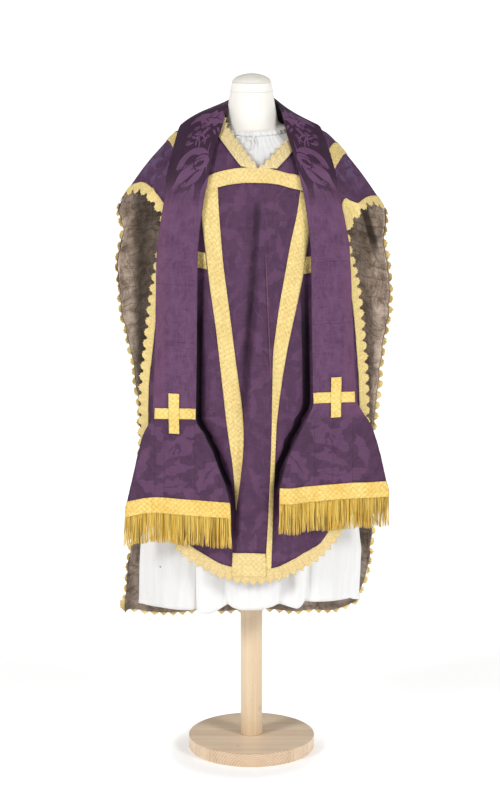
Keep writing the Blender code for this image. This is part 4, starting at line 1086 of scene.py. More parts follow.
LOOKS = {
    "stole": damask("stole_damask", True),
    "damask": damask("chasuble_damask"),
    "linen": linen("linen_lining", (0.93, 0.74, 0.6), (0.21, 0.145, 0.098)),
    "dark": linen("stole_lining", (0.05, 0.028, 0.048), (0.026, 0.014, 0.025)),
    "galloon": gold("galloon", (0.98, 0.8, 0.35), (0.6, 0.37, 0.07)),
    "lattice": gold("lattice_galloon", (1.000, 0.8, 0.29), (0.72, 0.39, 0.02), "lattice", contrast=1.0),
    "lace": lace_look("side_lace", (0.99, 0.8, 0.34), (0.62, 0.4, 0.09), 0.0235),
    "yoke": gold("yoke_galloon", (0.96, 0.77, 0.34), (0.62, 0.38, 0.08), contrast=0.75),
    "patch": gold("patch_galloon", (0.94, 0.76, 0.37), (0.62, 0.42, 0.12)),
    # A darker copy of the galloon: painted shade for the side bands.
    "shaded": gold("side_galloon", (0.96, 0.76, 0.3), (0.33, 0.2, 0.03), "lattice", contrast=0.9),
    "neck_lace": lace_look("neck_lace", (0.96, 0.79, 0.42), (0.44, 0.27, 0.07), 0.0165),
    "hem_lace": lace_look("hem_lace", (0.9, 0.71, 0.34), (0.54, 0.36, 0.11), 0.0185),
    "cotton": cotton("white_cotton"),
    "canvas": canvas("form_canvas", (1.000, 0.97, 0.905)),
    "cap": canvas("cap_canvas", (0.8, 0.765, 0.7)),
    "cross": gold("cross_galloon", (1.000, 0.8, 0.29), (0.72, 0.43, 0.04), contrast=0.9),
    "pole": turned_beech("beech_pole"),
    "base": staved_beech("beech_staves"),
    "steel": metal("zinc_steel", (0.62, 0.62, 0.64)),
    "plywood": plywood("birch_plywood"),
    "fringe": fringe_look("gold_fringe"),
}

# ---------- chasuble ----------
CLOTH_THICK, LINING_THICK, TRIM_THICK = 0.0009, 0.0008, 0.001
LINING_LIFT, TRIM_LIFT = -0.0023, 0.0017


def lace_edge(mirror):
    """The outer tips of the lace down one side of the front, from the shoulder tip to the curved hem."""
    return cloth_curve(ARMHOLE_LEFT if mirror < 0 else ARMHOLE_RIGHT, mirror=mirror)


def lace_heading(mirror):
    """The inner edge of the lace down one side of the front. At +X it climbs to a crest over the armhole."""
    heading = offset(lace_edge(mirror), -mirror * LACE_WIDTH, SEAM)
    if mirror < 0:
        return heading
    crest = smooth(np.concatenate([on_cloth(*np.array(CREST).T), heading(np.array([CREST_END]))]))

    def at(share):
        share = np.asarray(share, float)
        along_crest = np.interp(share / CREST_END, *np.array(CREST_PACE).T)
        return np.where((share < CREST_END)[..., None], crest(along_crest), heading(share))

    return at


def front_hem_edge(share):
    """The outer tips of the lace round the curved hem, from -X to +X."""
    angle = math.pi * np.asarray(share, float)
    return on_cloth(-FRONT_HALF * np.cos(angle), CURVE_START - (CURVE_START - FRONT_HEM) * np.sin(angle))


def spread(across, middle, dense):
    """Shares from 0 to 1, packed closer round the middle."""
    u = np.linspace(0, 1, 2001)
    weight = 1 + dense * np.exp(-(((u - middle) / 0.1) ** 2))
    total = np.concatenate([[0], np.cumsum((weight[1:] + weight[:-1]) / 2)])
    return np.interp(np.linspace(0, 1, across + 1), total / total[-1], u)


def cut(top, left, right, hem, seam, u, down, square):
    """A flat cut whose sides start at the shoulder tips, and whose hem bends to meet them."""
    tip = TIP_X - LACE_PROUD
    ends = left(np.ones(1))[0], right(np.ones(1))[0]

    def side(curve, x):
        return lambda share: np.where((share > 0)[..., None], curve(share), [x, seam])

    def bottom(share):
        corner = np.where((share < 0.5)[..., None], *ends)
        return hem(share) + (corner - hem(share)) * (np.abs(2 * share - 1) ** square)[..., None]

    v = np.linspace(0, 1, down + 1) ** 1.35
    return patch(top, bottom, side(left, -tip), side(right, tip), u, v)


def front_cloth(across=150, down=190):
    """The front's flat cut as a grid, with its neckline in the top edge."""
    tips = cloth_curve(NECK_TIPS, bend=straight)
    neck = offset(tips, -NECK_IN, SEAM)
    left, right = offset(lace_edge(-1), LACE_PROUD, SEAM), offset(lace_edge(1), -LACE_PROUD, SEAM)
    tip = TIP_X - LACE_PROUD

    def top(share):
        share = np.asarray(share, float)
        inner = np.clip((share - NECK_START) / (1 - 2 * NECK_START), 0, 1)
        out = np.where(share < 0.5, share, 1 - share) / NECK_START
        side = np.where(share < 0.5, -1, 1)[..., None] * [tip, 0] + [0, SEAM]
        return np.where((out < 1)[..., None], side + (neck(inner) - side) * out[..., None], neck(inner))

    return cut(top, left, right, offset(front_hem_edge, LACE_PROUD), SEAM, spread(across, 0.5, 1.6), down, 8)


def back_edge(mirror, inset=0.0):
    """One side of the back, from the shoulder tip to the hem, inside the tips of its lace."""
    points = BACK_LEFT if mirror < 0 else BACK_RIGHT
    curve = cloth_curve(points, behind=True, mirror=mirror)
    return offset(curve, mirror * inset, -SEAM) if inset else curve


def back_hem_edge(inset):
    """The back hem from -X to +X, rising round the corner at +X, inside the tips of its lace."""
    left, right = BACK_LEFT[-1][0], BACK_RIGHT[-1][0]

    def at(share):
        x = -left + (left + right) * np.asarray(share, float)
        rise = (BACK_RIGHT[-1][1] - BACK_HEM) * np.clip((x - 0.14) / (right - 0.14), 0, 1) ** 1.8
        rise += (BACK_LEFT[-1][1] - BACK_HEM) * np.clip((-x - 0.18) / (left - 0.18), 0, 1) ** 1.4
        return on_cloth(x, BACK_HEM + inset + rise, True)

    return at


def back_cloth(across=120, down=210):
    """The back's flat cut as a grid, with its shallow neckline."""
    half = (NECK_TIPS[-1][0] - NECK_TIPS[0][0]) / 2 + NECK_IN
    middle = (NECK_TIPS[-1][0] + NECK_TIPS[0][0]) / 2
    tip = TIP_X - LACE_PROUD

    def top(share):
        share = np.asarray(share, float)
        turn = math.pi * np.clip((share - NECK_START) / (1 - 2 * NECK_START), 0, 1)
        out = np.clip(np.where(share < 0.5, share, 1 - share) / NECK_START, 0, 1)
        side = np.where(share < 0.5, -1, 1)
        near = middle - half * np.cos(turn)
        x = np.where(out < 1, side * tip + (middle + side * half - side * tip) * out, near)
        return np.stack([x, -SEAM - BACK_NECK_DEPTH * np.sin(turn)], -1)

    sides = back_edge(-1, LACE_PROUD), back_edge(1, LACE_PROUD)
    return cut(top, *sides, back_hem_edge(LACE_PROUD), -SEAM, np.linspace(0, 1, across + 1), down, 12)


def flat_size(cloth):
    """The width, length and area of a flat cut."""
    cloth = weave(cloth)
    a, b, c, d = cloth[:-1, :-1], cloth[1:, :-1], cloth[1:, 1:], cloth[:-1, 1:]
    p, q = c - a, d - b
    area = np.abs(p[..., 0] * q[..., 1] - p[..., 1] * q[..., 0]).sum() / 2
    width, length = np.ptp(cloth[..., 0]), np.ptp(cloth[..., 1])
    return (round(float(width), 3), round(float(length), 3)), round(float(area), 4)


def panel(name, cloth, lift, thick, look, slot, node):
    """One layer of a side of the chasuble."""
    made = baked(build(name, lay(cloth, lift), look, weave(cloth), thick))
    return place(made, "chasuble", slot, node)


def strip(name, first, second, across, down, look, slot, node, teeth=None, lift=TRIM_LIFT):
    """A flat band of lace or galloon between two edges."""
    grid, uv = between(first, second, across, down, teeth)
    made = baked(build(name, lay(grid, lift), look, uv, TRIM_THICK))
    return place(made, "chasuble", slot, node)


YOKE_UPPER = [
    (-0.112, 1.272), (-0.084, 1.287), (-0.024, 1.2995), (0.049, 1.294), (0.092, 1.283), (0.118, 1.266),
]
YOKE_LOWER = [
    (-0.1, 1.246), (-0.073, 1.259), (-0.02, 1.269), (0.04, 1.267), (0.096, 1.253), (0.108, 1.246),
]
LEFT_OUTER = [
    (-0.102, 1.256), (-0.108, 1.205), (-0.099, 1.124), (-0.089, 1.045), (-0.079, 0.971), (-0.068, 0.871),
    (-0.057, 0.771), (-0.049, 0.71), (-0.044, 0.672), (-0.0405, 0.625), (-0.0375, 0.578),
]
LEFT_INNER = [
    (-0.074, 1.262), (-0.071, 1.205), (-0.063, 1.104), (-0.053, 1.025), (-0.043, 0.945), (-0.032, 0.858),
    (-0.022, 0.775), (-0.0215, 0.71), (-0.026, 0.66), (-0.031, 0.62), (-0.0365, 0.576),
]
RIGHT_INNER = [
    (0.097, 1.251), (0.089, 1.199), (0.077, 1.145), (0.066, 1.083), (0.055, 1.02), (0.047, 0.963),
    (0.041, 0.907), (0.039, 0.8), (0.038, 0.741), (0.033, 0.595), (0.025, 0.45),
]
RIGHT_OUTER = [
    (0.109, 1.246), (0.117, 1.175), (0.11, 1.12), (0.103, 1.076), (0.088, 1.007), (0.074, 0.938),
    (0.061, 0.862), (0.05, 0.775), (0.0475, 0.735), (0.043, 0.615), (0.0375, 0.446),
]
PATCH = [(-0.044, 0.484), (0.0255, 0.483), (-0.0465, 0.432), (0.0275, 0.432)]
# Each side band's inner x at its top and foot, its outer x, and the heights of its inner and outer corners.
SIDE_BANDS = {
    -1: (0.1003, 0.0964, 0.162, 1.122, 1.118, 1.088, 1.084),
    1: (0.11, 0.1045, 0.162, 1.113, 1.109, 1.078, 1.074),
}
BACK_YOKE_UPPER = [(-0.114, 1.268), (0, 1.281), (0.114, 1.268)]
BACK_YOKE_LOWER = [(-0.102, 1.24), (0, 1.25), (0.102, 1.24)]
SHOULDER_RIDGE, SHOULDER_FOOT = {-1: 0.1745, 1: 0.189}, {-1: (0.11, 0.2), 1: (0.118, 0.2)}
BACK_COLUMN_TOP, BACK_COLUMN_X, BACK_COLUMN_FOOT = 1.236, 0.092, 0.05
# Each kind of lace tooth: pitch, depth and shape.
SIDE_TEETH, HEM_TEETH = (0.0235, 0.0115, leaf_teeth), (0.0185, 0.0105, sharp_teeth)
NECK_TEETH = (0.0165, 0.008, sharp_teeth)
BACK_TEETH, BACK_HEM_TEETH = (0.0245, 0.0095, leaf_teeth), (0.0225, 0.01, sharp_teeth)


def shoulder_band(mirror, rows):
    """The band from the front yoke over the sloping shoulder to the back yoke, as (x, s) points."""
    v = np.linspace(0, 1, rows + 1)[:, None]
    u = np.linspace(-0.5, 0.5, 9)
    share, side = np.abs(2 * v - 1), np.where(v < 0.5, 1.0, -1.0)
    foot_x, foot_s = SHOULDER_FOOT[mirror]
    middle = SHOULDER_RIDGE[mirror] * (1 - share) + foot_x * share
    x = mirror * (middle + u * BAND * (0.58 + 0.3 * share))
    down = side * foot_s * share + 0 * u
    flat = np.stack(np.broadcast_arrays(u * BAND, v * 2 * foot_s), -1)
    return np.stack([x, down], -1), flat if mirror > 0 else flat[:, ::-1]


def part_of(curve, start, end):
    """A curve cut short to a stretch of its shares."""
    return lambda share: curve(start + (end - start) * share)


def chasuble_lace(trims):
    """The lace round the neck, the hems and both sides of the front and back."""

    def lace(side, name, edges, across, rows, node, teeth, lift=TRIM_LIFT, look="lace"):
        made = strip(f"{name}_edging", *edges, across, rows, LOOKS[look], "lace", node, teeth, lift)
        trims[side].append(made)

    neck = [cloth_curve(points, bend=straight) for points in (NECK_TIPS, NECK_HEADING)]
    lace("front", "neck", neck, 8, 260, "neck_lace", NECK_TEETH, TRIM_LIFT + 0.0016, "neck_lace")
    for side, mirror, start in (("left", -1, 0), ("right", 1, 0.024)):
        node = f"front_lace_{side}"
        edges = [part_of(edge, start, 1) for edge in (lace_edge(mirror), lace_heading(mirror))]
        lace("front", node, edges, 10, 420, node, SIDE_TEETH)
        node = f"back_lace_{side}"
        edges = [part_of(back_edge(mirror, inset), 0, 0.972) for inset in (0, BACK_LACE_WIDTH)]
        lace("back", node, edges, 8, 480, node, BACK_TEETH)
    hem = part_of(front_hem_edge, 0.006, 0.994)
    edges = hem, offset(hem, HEM_LACE_WIDTH)
    lace("front", "front_hem", edges, 10, 620, "front_lace_hem", HEM_TEETH, TRIM_LIFT + 0.0002, "hem_lace")
    edges = back_hem_edge(0), back_hem_edge(BACK_LACE_WIDTH)
    lace("back", "back_hem", edges, 8, 420, "back_lace_hem", BACK_HEM_TEETH)


def chasuble_bands(trims):
    """The galloon: yokes, columns, side bands, shoulder bands and the patch over the hem."""

    def band(name, first, second, node, rows, side="front", lift=TRIM_LIFT, across=8, look="galloon"):
        edges = [cloth_curve(points, side == "back") for points in (first, second)]
        trims[side].append(strip(name, *edges, across, rows, LOOKS[look], "galloon", node, lift=lift))

    band("yoke_band", YOKE_UPPER, YOKE_LOWER, "yoke_galloon", 90, lift=TRIM_LIFT + 0.0013, look="yoke")
    band("column_left_band", LEFT_OUTER, LEFT_INNER, "column_galloon_left", 200, across=14)
    band("column_right_band", RIGHT_INNER, RIGHT_OUTER, "column_galloon_right", 240, across=10)
    high = TRIM_LIFT + 0.0016
    band("patch_band", PATCH[:2], PATCH[2:], "bottom_patch", 36, lift=high, across=24, look="patch")
    for side, mirror in (("left", -1), ("right", 1)):
        inner, inner_low, outer, top_in, top_out, low_in, low_out = SIDE_BANDS[mirror]
        upper = [(mirror * inner, top_in), (mirror * outer, top_out)]
        lower = [(mirror * inner_low, low_in), (mirror * outer, low_out)]
        band(f"side_{side}_band", upper, lower, f"side_galloon_{side}", 20, look="shaded")
        grid, uv = shoulder_band(mirror, 140)
        if mirror < 0:
            grid = grid[:, ::-1]
        piece = baked(build(f"shoulder_{side}_band", lay(grid, TRIM_LIFT), LOOKS["galloon"], uv, TRIM_THICK))
        trims["front"].append(place(piece, "chasuble", "galloon", f"shoulder_galloon_{side}"))
        top, foot, low = mirror * BACK_COLUMN_X, mirror * BACK_COLUMN_FOOT, BACK_HEM + 0.028
        edges = []
        for half in (-BAND / 2, BAND / 2):
            ends = np.array([(top + half, BACK_COLUMN_TOP), (foot + half, low)])
            edges.append([tuple(ends[0] + (ends[1] - ends[0]) * share) for share in np.linspace(0, 1, 12)])
        band(f"back_column_{side}_band", *edges, f"back_column_{side}", 200, "back")
    high = TRIM_LIFT + 0.0013
    band("back_yoke_band", BACK_YOKE_UPPER, BACK_YOKE_LOWER, "back_yoke_galloon", 70, "back", high)


def chasuble():
    """The front and back, each damask over linen, with their lace and galloon."""
    sides, trims = {}, {"front": [], "back": []}
    for name, cloth in (("front", front_cloth()), ("back", back_cloth())):
        silk = panel(f"{name}_silk", cloth, 0.0, CLOTH_THICK, LOOKS["damask"], "damask", f"{name}_damask")
        look, node = LOOKS["linen"], f"{name}_lining"
        lining = panel(f"{name}_linen", cloth, LINING_LIFT, LINING_THICK, look, "linen", node)
        sides[name] = silk, lining, *flat_size(cloth)
    chasuble_lace(trims)
    chasuble_bands(trims)


# ---------- stole ----------
STOLE_INNER = {
    -1: [(0.05, None), (0.064, 1.372), (0.079, 1.336), (0.089, 1.29), (0.104, 1.215), (0.113, 1.132)],
    1: [(0.052, None), (0.062, 1.372), (0.074, 1.336), (0.09, 1.29), (0.107, 1.215), (0.116, 1.132)],
}
STOLE_OUTER = {
    -1: [(0.149, None), (0.16, 1.343), (0.171, 1.3), (0.178, 1.255), (0.187, 1.2), (0.197, 1.132)],
    1: [(0.135, None), (0.148, 1.343), (0.162, 1.3), (0.172, 1.255), (0.184, 1.2), (0.196, 1.132)],
}
END_GALLOON = 0.034
STOLE_LIFT, STOLE_LINING_LIFT, STOLE_TRIM_LIFT = 0.0098, 0.0076, 0.0115
STOLE_THICK = 0.001
NAPE_INNER, NAPE_OUTER = (0.076, 1.447), (0.116, 1.354)
CROSS_LEVEL, CROSS_BAR, CROSS_HALF = 0.782, 0.0225, 0.0425
CROSS_X = {-1: (0.1525, 0.174), 1: (0.1592, 0.18)}
FRINGE_LENGTH = 0.066


def stole_rise(mirror, u):
    """How far the end's galloon rises across its width, from its inner to its outer edge."""
    if mirror > 0:
        return np.interp(u, [0, 0.15, 0.33, 0.7, 1], [-0.0017, -0.0026, -0.0025, -0.0006, -0.0042])
    return np.interp(u, [0, 0.34, 0.7, 0.77, 0.84, 1], [0, 0.0022, 0.003, 0.0024, 0.0000, -0.012])


def stole_relief(mirror, u, height):
    """How far the hanging stole stands out from its even lift."""
    down = np.clip((1.2 - height) / 0.1, 0, 1)
    lower = np.clip((0.92 - height) / 0.2, 0, 1)
    edge = (0.006 + 0.008 * lower) * (1 - u) ** 5 * down + (0.0015 + 0.004 * lower) * u**5 * down
    low = np.clip((0.8 - height) / 0.2, 0, 1)
    fold = 0.01 * low * np.exp(-(((u - (0.1 if mirror > 0 else 0.84)) / 0.09) ** 2))
    sway = 0.0025 * low * np.sin(u * 8 + mirror)
    ripple = 0.0014 * crumple(u * 0.1 + mirror, height * 0.5, 0.03, 31 + mirror, 3) * down
    crease = 0.0005 * crumple(u * 0.02 + mirror, height, 0.012, 41, 2)
    return edge + fold + sway + ripple + crease


def hanging(mirror, u, height, lift):
    """Points of a stole end for shares across and heights."""
    inner, outer = stole_edges(mirror, height)
    cloth = on_cloth(mirror * (inner + (outer - inner) * u), height)
    x, s = cloth[..., 0], cloth[..., 1]
    base = surface(x, s)
    fold = front_folds(x, base[..., 2])
    fold = (fold + np.sqrt(fold * fold + 0.0018**2)) / 2
    return base + normals(x, s) * (fold + stole_relief(mirror, u, height) + lift)[..., None], cloth


def end_height(mirror, u, down):
    """The height a distance down from the galloon's top edge, at a share across."""
    end = STOLE_END + (RIGHT_RISE if mirror > 0 else 0)
    return end + stole_rise(mirror, u) - down


def stole_strip(mirror, lift, across=34):
    """The stole from the nape over the shoulder to its end galloon: points and the flat cloth."""
    inner, outer = (cloth_curve(edge[mirror], mirror=mirror) for edge in (STOLE_INNER, STOLE_OUTER))
    u = np.linspace(0, 1, across + 1)[None, :, None]
    ridge_line = inner(np.zeros(1)) * (1 - u[0]) + outer(np.zeros(1)) * u[0]
    x, s = ridge_line[:, 0], ridge_line[:, 1]
    start = surface(x, s) + normals(x, s) * (lift - 0.0032 * u[0] ** 4)
    start[:, 0] = GARMENT_X + mirror * (start[:, 0] - GARMENT_X)
    turn = (np.linspace(1, 0, 37)[:-1] * math.pi / 2)[:, None]
    nape = np.array(NAPE_INNER) * (1 - u[0]) + np.array(NAPE_OUTER) * u[0]
    nape = nape + (lift - STOLE_LIFT) * np.array([0.8, 0.6])
    swell = 0.0035 * np.sin(2 * turn) * np.sin(math.pi * u[0, :, 0]) ** 0.8
    around = np.stack([
        GARMENT_X + (start[:, 0] - GARMENT_X) * np.cos(turn),
        start[:, 1] + (nape[:, 0] - start[:, 1]) * np.sin(turn) + swell,
        start[:, 2] + (nape[:, 1] - start[:, 2]) * np.sin(turn) ** 1.6 + swell,
    ], -1)
    around[..., 0] = np.maximum(around[..., 0], GARMENT_X + SEAM)

    way = np.linspace(0, 1, 71)[:-1]
    cloth = inner(way)[:, None] * (1 - u) + outer(way)[:, None] * u
    x, s = cloth[..., 0], cloth[..., 1]
    base = surface(x, s)
    fold = front_folds(x, base[..., 2])
    fold = (fold + np.sqrt(fold * fold + 0.0018**2)) / 2 * np.clip(np.abs(s) / 0.05, 0, 1)
    relief = stole_relief(mirror, np.broadcast_to(u[..., 0], x.shape), base[..., 2])
    drawn = np.clip(np.abs(s) / 0.05, 0, 1)
    pressed = 0.0032 * u[..., 0] ** 4 * np.clip((base[..., 2] - 1.2) / 0.1, 0, 1)
    over = base + normals(x, s) * (fold + relief * drawn + lift - pressed)[..., None]

    share = np.linspace(0, 1, 151)[:, None]
    flat_u = np.broadcast_to(u[0, :, 0], (151, across + 1))
    foot = end_height(mirror, flat_u, 0.004)
    height = STOLE_HINGE + (foot - STOLE_HINGE) * share
    low, _ = hanging(mirror, flat_u, height, lift)

    around[..., 0] = GARMENT_X + mirror * (around[..., 0] - GARMENT_X)
    points = np.concatenate([around, over, low])
    step = np.linalg.norm(np.diff(points[:, across // 2], axis=0), axis=1)
    run = np.concatenate([[0], np.cumsum(step)])[:, None]
    width = np.linalg.norm(points[:, -1] - points[:, 0], axis=1)[:, None]
    uv = np.stack(np.broadcast_arrays(u[..., 0] * width, run + (0.02 if mirror > 0 else 0)), -1)
    return points, uv


def stole_trim(part, node, side, mirror, rows, columns, share, heights, lift, look):
    """A trim on a stole end, between two shares of its width and two heights down its middle."""
    v = np.linspace(0, 1, rows + 1)[:, None]
    u, v = np.broadcast_arrays(np.linspace(*share, columns + 1)[None, :], v)
    height = heights(u, v)
    if part == "upright":
        inner, outer = stole_edges(mirror, height)
        u = (u - inner) / (outer - inner)
    points, cloth = hanging(mirror, u, height, lift)
    uv = np.stack([np.abs(cloth[..., 0]), height], -1)
    made = baked(build(f"stole_{side}_{part}", points, LOOKS[look], uv, TRIM_THICK))
    return place(made, f"stole_{side}_end", "galloon", f"stole_{side}_{node}")


def fringe(side, mirror, body):
    """Loose twisted strands in two rows below the end galloon."""
    count, long = 250, 9
    v = np.linspace(0, 1, long)[None, :]
    i = np.arange(count)

    def varied(pitch, start, seed):
        return noise(i * pitch, i * 0 + start, seed)[:, None]

    u = ((i + 0.5) / count)[:, None]
    length = FRINGE_LENGTH * (1 + 0.045 * varied(1.37, 0.5, 7) + 0.03 * varied(0.11, 0, 9))
    height = end_height(mirror, u, END_GALLOON - 0.002) - length * v
    bunch = 0.01 * varied(0.21, 1.0, 13) * v
    sway = u + bunch + 0.012 * v**1.5 * varied(0.77, 3.3, 5) + 0.004 * np.sin(v * 5 + i[:, None] * 1.9) * v
    points, _ = hanging(mirror, np.clip(sway, -0.03, 1.03), height, STOLE_LIFT)
    row = (i % 2)[:, None]
    points[..., 1] -= 0.0011 * (row * 2 - 1) + 0.0022 * v * varied(0.57, 2.0, 17) + 0.0004
    radius = np.full((count, long), 0.00085) * (1 + 0.15 * varied(0.9, 0, 19))
    radius[:, -1] *= 0.45
    made = tubes(f"stole_{side}_strands", points, radius, LOOKS["fringe"])
    return place(made, body, "fringe", f"stole_{side}_fringe")


def stole():
    """Both sides of the stole, lined, each with its cross, end galloon and fringe."""
    for side, mirror in (("left", -1), ("right", 1)):
        body = f"stole_{side}_end"
        pieces = []
        for name, lift, look, slot, nodes in (
            ("silk", STOLE_LIFT, "stole", "damask", ""),
            ("lining", STOLE_LINING_LIFT, "dark", "dark_lining", "_lining"),
        ):
            points, uv = stole_strip(mirror, lift)
            made = baked(build(f"stole_{side}_{name}", points, LOOKS[look], uv, STOLE_THICK))
            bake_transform(made)
            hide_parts(f"stole_{side}_neck{nodes}", f"stole_{side}_end{nodes}")
            pieces.append((made, points))
        level = CROSS_LEVEL + (RIGHT_RISE if mirror > 0 else 0)
        tilt = -0.0035 if mirror > 0 else -0.005

        def bar(u, v):
            return level + tilt * (u - 0.5) + CROSS_BAR * (0.5 - v)

        def upright(u, v):
            return level + CROSS_HALF * (1 - 2 * v)

        def end_band(u, v):
            return end_height(mirror, u, 0) - END_GALLOON * v

        lift = STOLE_TRIM_LIFT
        trims = [stole_trim(*row[:2], side, mirror, *row[2:]) for row in (
            ("bar", "cross_bar", 12, 34, (0.0, 0.955), bar, lift, "cross"),
            ("upright", "cross_upright", 40, 8, CROSS_X[mirror], upright, lift + 0.0015, "cross"),
            ("band", "end_galloon", 14, 60, (0, 1), end_band, lift, "lattice"),
        )]
        trims.append(fringe(side, mirror, body))
        for (made, points), own in zip(pieces, (trims, [])):
            a, b = points[1:, :-1] - points[:-1, :-1], points[:-1, 1:] - points[:-1, :-1]
            area = float(np.linalg.norm(np.cross(a, b), axis=-1).sum())
            long = float(np.linalg.norm(np.diff(points[:, points.shape[1] // 2], axis=0), axis=1).sum())
            wide = float(np.linalg.norm(points[-1, -1] - points[-1, 0]))
            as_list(own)


# ---------- under-tunic ----------
TUNIC_RINGS = [
    (0.246, 0.122, 0.335, 0.335), (0.237, 0.122, 0.48, 0.48), (0.222, 0.121, 0.64, 0.64),
    (0.207, 0.12, 0.8, 0.8), (0.196, 0.119, 0.95, 0.95), (0.19, 0.118, 1.1, 1.1),
    (0.188, 0.117, 1.195, 1.243), (0.18, 0.114, 1.246, 1.305), (0.16, 0.112, 1.288, 1.345),
    (0.126, 0.103, 1.318, 1.36), (0.1, 0.086, 1.34, 1.362), (0.084, 0.065, 1.3585, 1.364),
]
TUNIC_THICK, TUNIC_HEM_ROUND = 0.0012, 1.36
ARMHOLE_X, ARMHOLE_HEIGHT, ARMHOLE_RADIUS = 0.19, 1.262, 0.048
TUNIC_HEM = [
    (-0.25, 0.338), (-0.235, 0.339), (-0.2, 0.342), (-0.119, 0.345), (-0.112, 0.339), (-0.083, 0.341),
    (-0.066, 0.352), (-0.053, 0.36), (-0.04, 0.355), (-0.024, 0.352), (0.000, 0.352), (0.022, 0.353),
    (0.04, 0.357), (0.057, 0.36), (0.075, 0.358), (0.098, 0.353), (0.115, 0.358), (0.128, 0.363),
    (0.2, 0.357), (0.25, 0.352),
]
# The flutes in front: how far each stands out, its place and its width.
TUNIC_FLUTES = [
    (0.011, -0.096, 0.016), (-0.012, -0.054, 0.011), (-0.01, -0.121, 0.005), (0.009, 0.012, 0.034),
    (-0.014, 0.066, 0.012), (0.012, 0.098, 0.014), (-0.01, 0.128, 0.009), (0.005, -0.16, 0.03),
    (0.004, 0.19, 0.04), (0.004, -0.02, 0.012),
]
HEM_LOW, HEM_FREE = 0.335, 0.7
TIE_BENDS = [
    (0.006, 0.002, 0.034), (0.005, 0.0015, 0.02), (0.002, 0.0005, 0.009), (-0.001, 0.000, 0.003),
    (-0.007, 0.002, -0.003), (-0.012, 0.003, 0.001), (-0.011, 0.004, 0.008), (-0.005, 0.005, 0.006),
    (-0.003, 0.005, 0.014), (-0.007, 0.006, 0.028),
]


def ring_points(rings, v, angle):
    """Points of an oval ring at a place along the rings, whose sides may stand higher."""
    table = smooth(rings)(v)
    half_width, half_depth, front, side = (table[:, k : k + 1] for k in range(4))
    rise = (side - front) * np.cos(angle) ** 2
    z = front + rise
    shape = np.broadcast_arrays(half_width * np.cos(angle), half_depth * np.sin(angle), z)
    return np.stack(shape, -1)


def tunic_drape(angle):
    """Points of the tunic, gathered at its neck, with soft flutes at its hem."""
    points = ring_points(TUNIC_RINGS, np.linspace(0, 1, 151), angle)
    x, y, z = points[..., 0], points[..., 1], points[..., 2]
    low = np.clip((0.62 - z) / 0.28, 0, 1)
    front = np.clip(-y / 0.04, 0, 1)
    flute = sum(out * ridge(x, at, width) for out, at, width in TUNIC_FLUTES)
    behind = 0.008 * np.cos(angle * 9 + 0.6) + 0.004 * np.cos(angle * 17)
    fold = low * (flute * front + behind * (1 - front))
    fold += 0.0016 * crumple(angle * 0.16, z * 0.35, 0.05, 51, 3) * np.clip((1.2 - z) / 0.1, 0, 1)
    gather = np.clip((z - 1.27) / 0.09, 0, 1)
    pleats = np.sin(angle * 58 + 2 * noise(angle * 7, z * 0, 3)) * 0.7 + noise(angle * 14, z * 30, 57) * 0.6
    fold += 0.0016 * gather * pleats
    out = np.stack([np.cos(angle) * np.ones_like(z), np.sin(angle) * np.ones_like(z), 0 * z], -1)
    points = points + out * fold[..., None]
    points[..., 0] -= 0.009 * np.clip(-x / 0.2, 0, 1) * ridge(z, 0.47, 0.1)
    drawn_in = np.clip(x / 0.2, 0, 1) ** 2 * np.clip((0.45 - z) / 0.1, 0, 1)
    points[..., 0] += 0.006 * np.clip(-x / 0.2, -1, 1) * ridge(z, 0.5, 0.12) - 0.018 * drawn_in
    hem = np.interp(x, *np.array(TUNIC_HEM).T) * front + (HEM_LOW + 0.004 * np.cos(angle * 7)) * (1 - front)
    points[..., 2] += (hem - HEM_LOW) * np.clip((HEM_FREE - z) / (HEM_FREE - HEM_LOW), 0, 1)
    return points


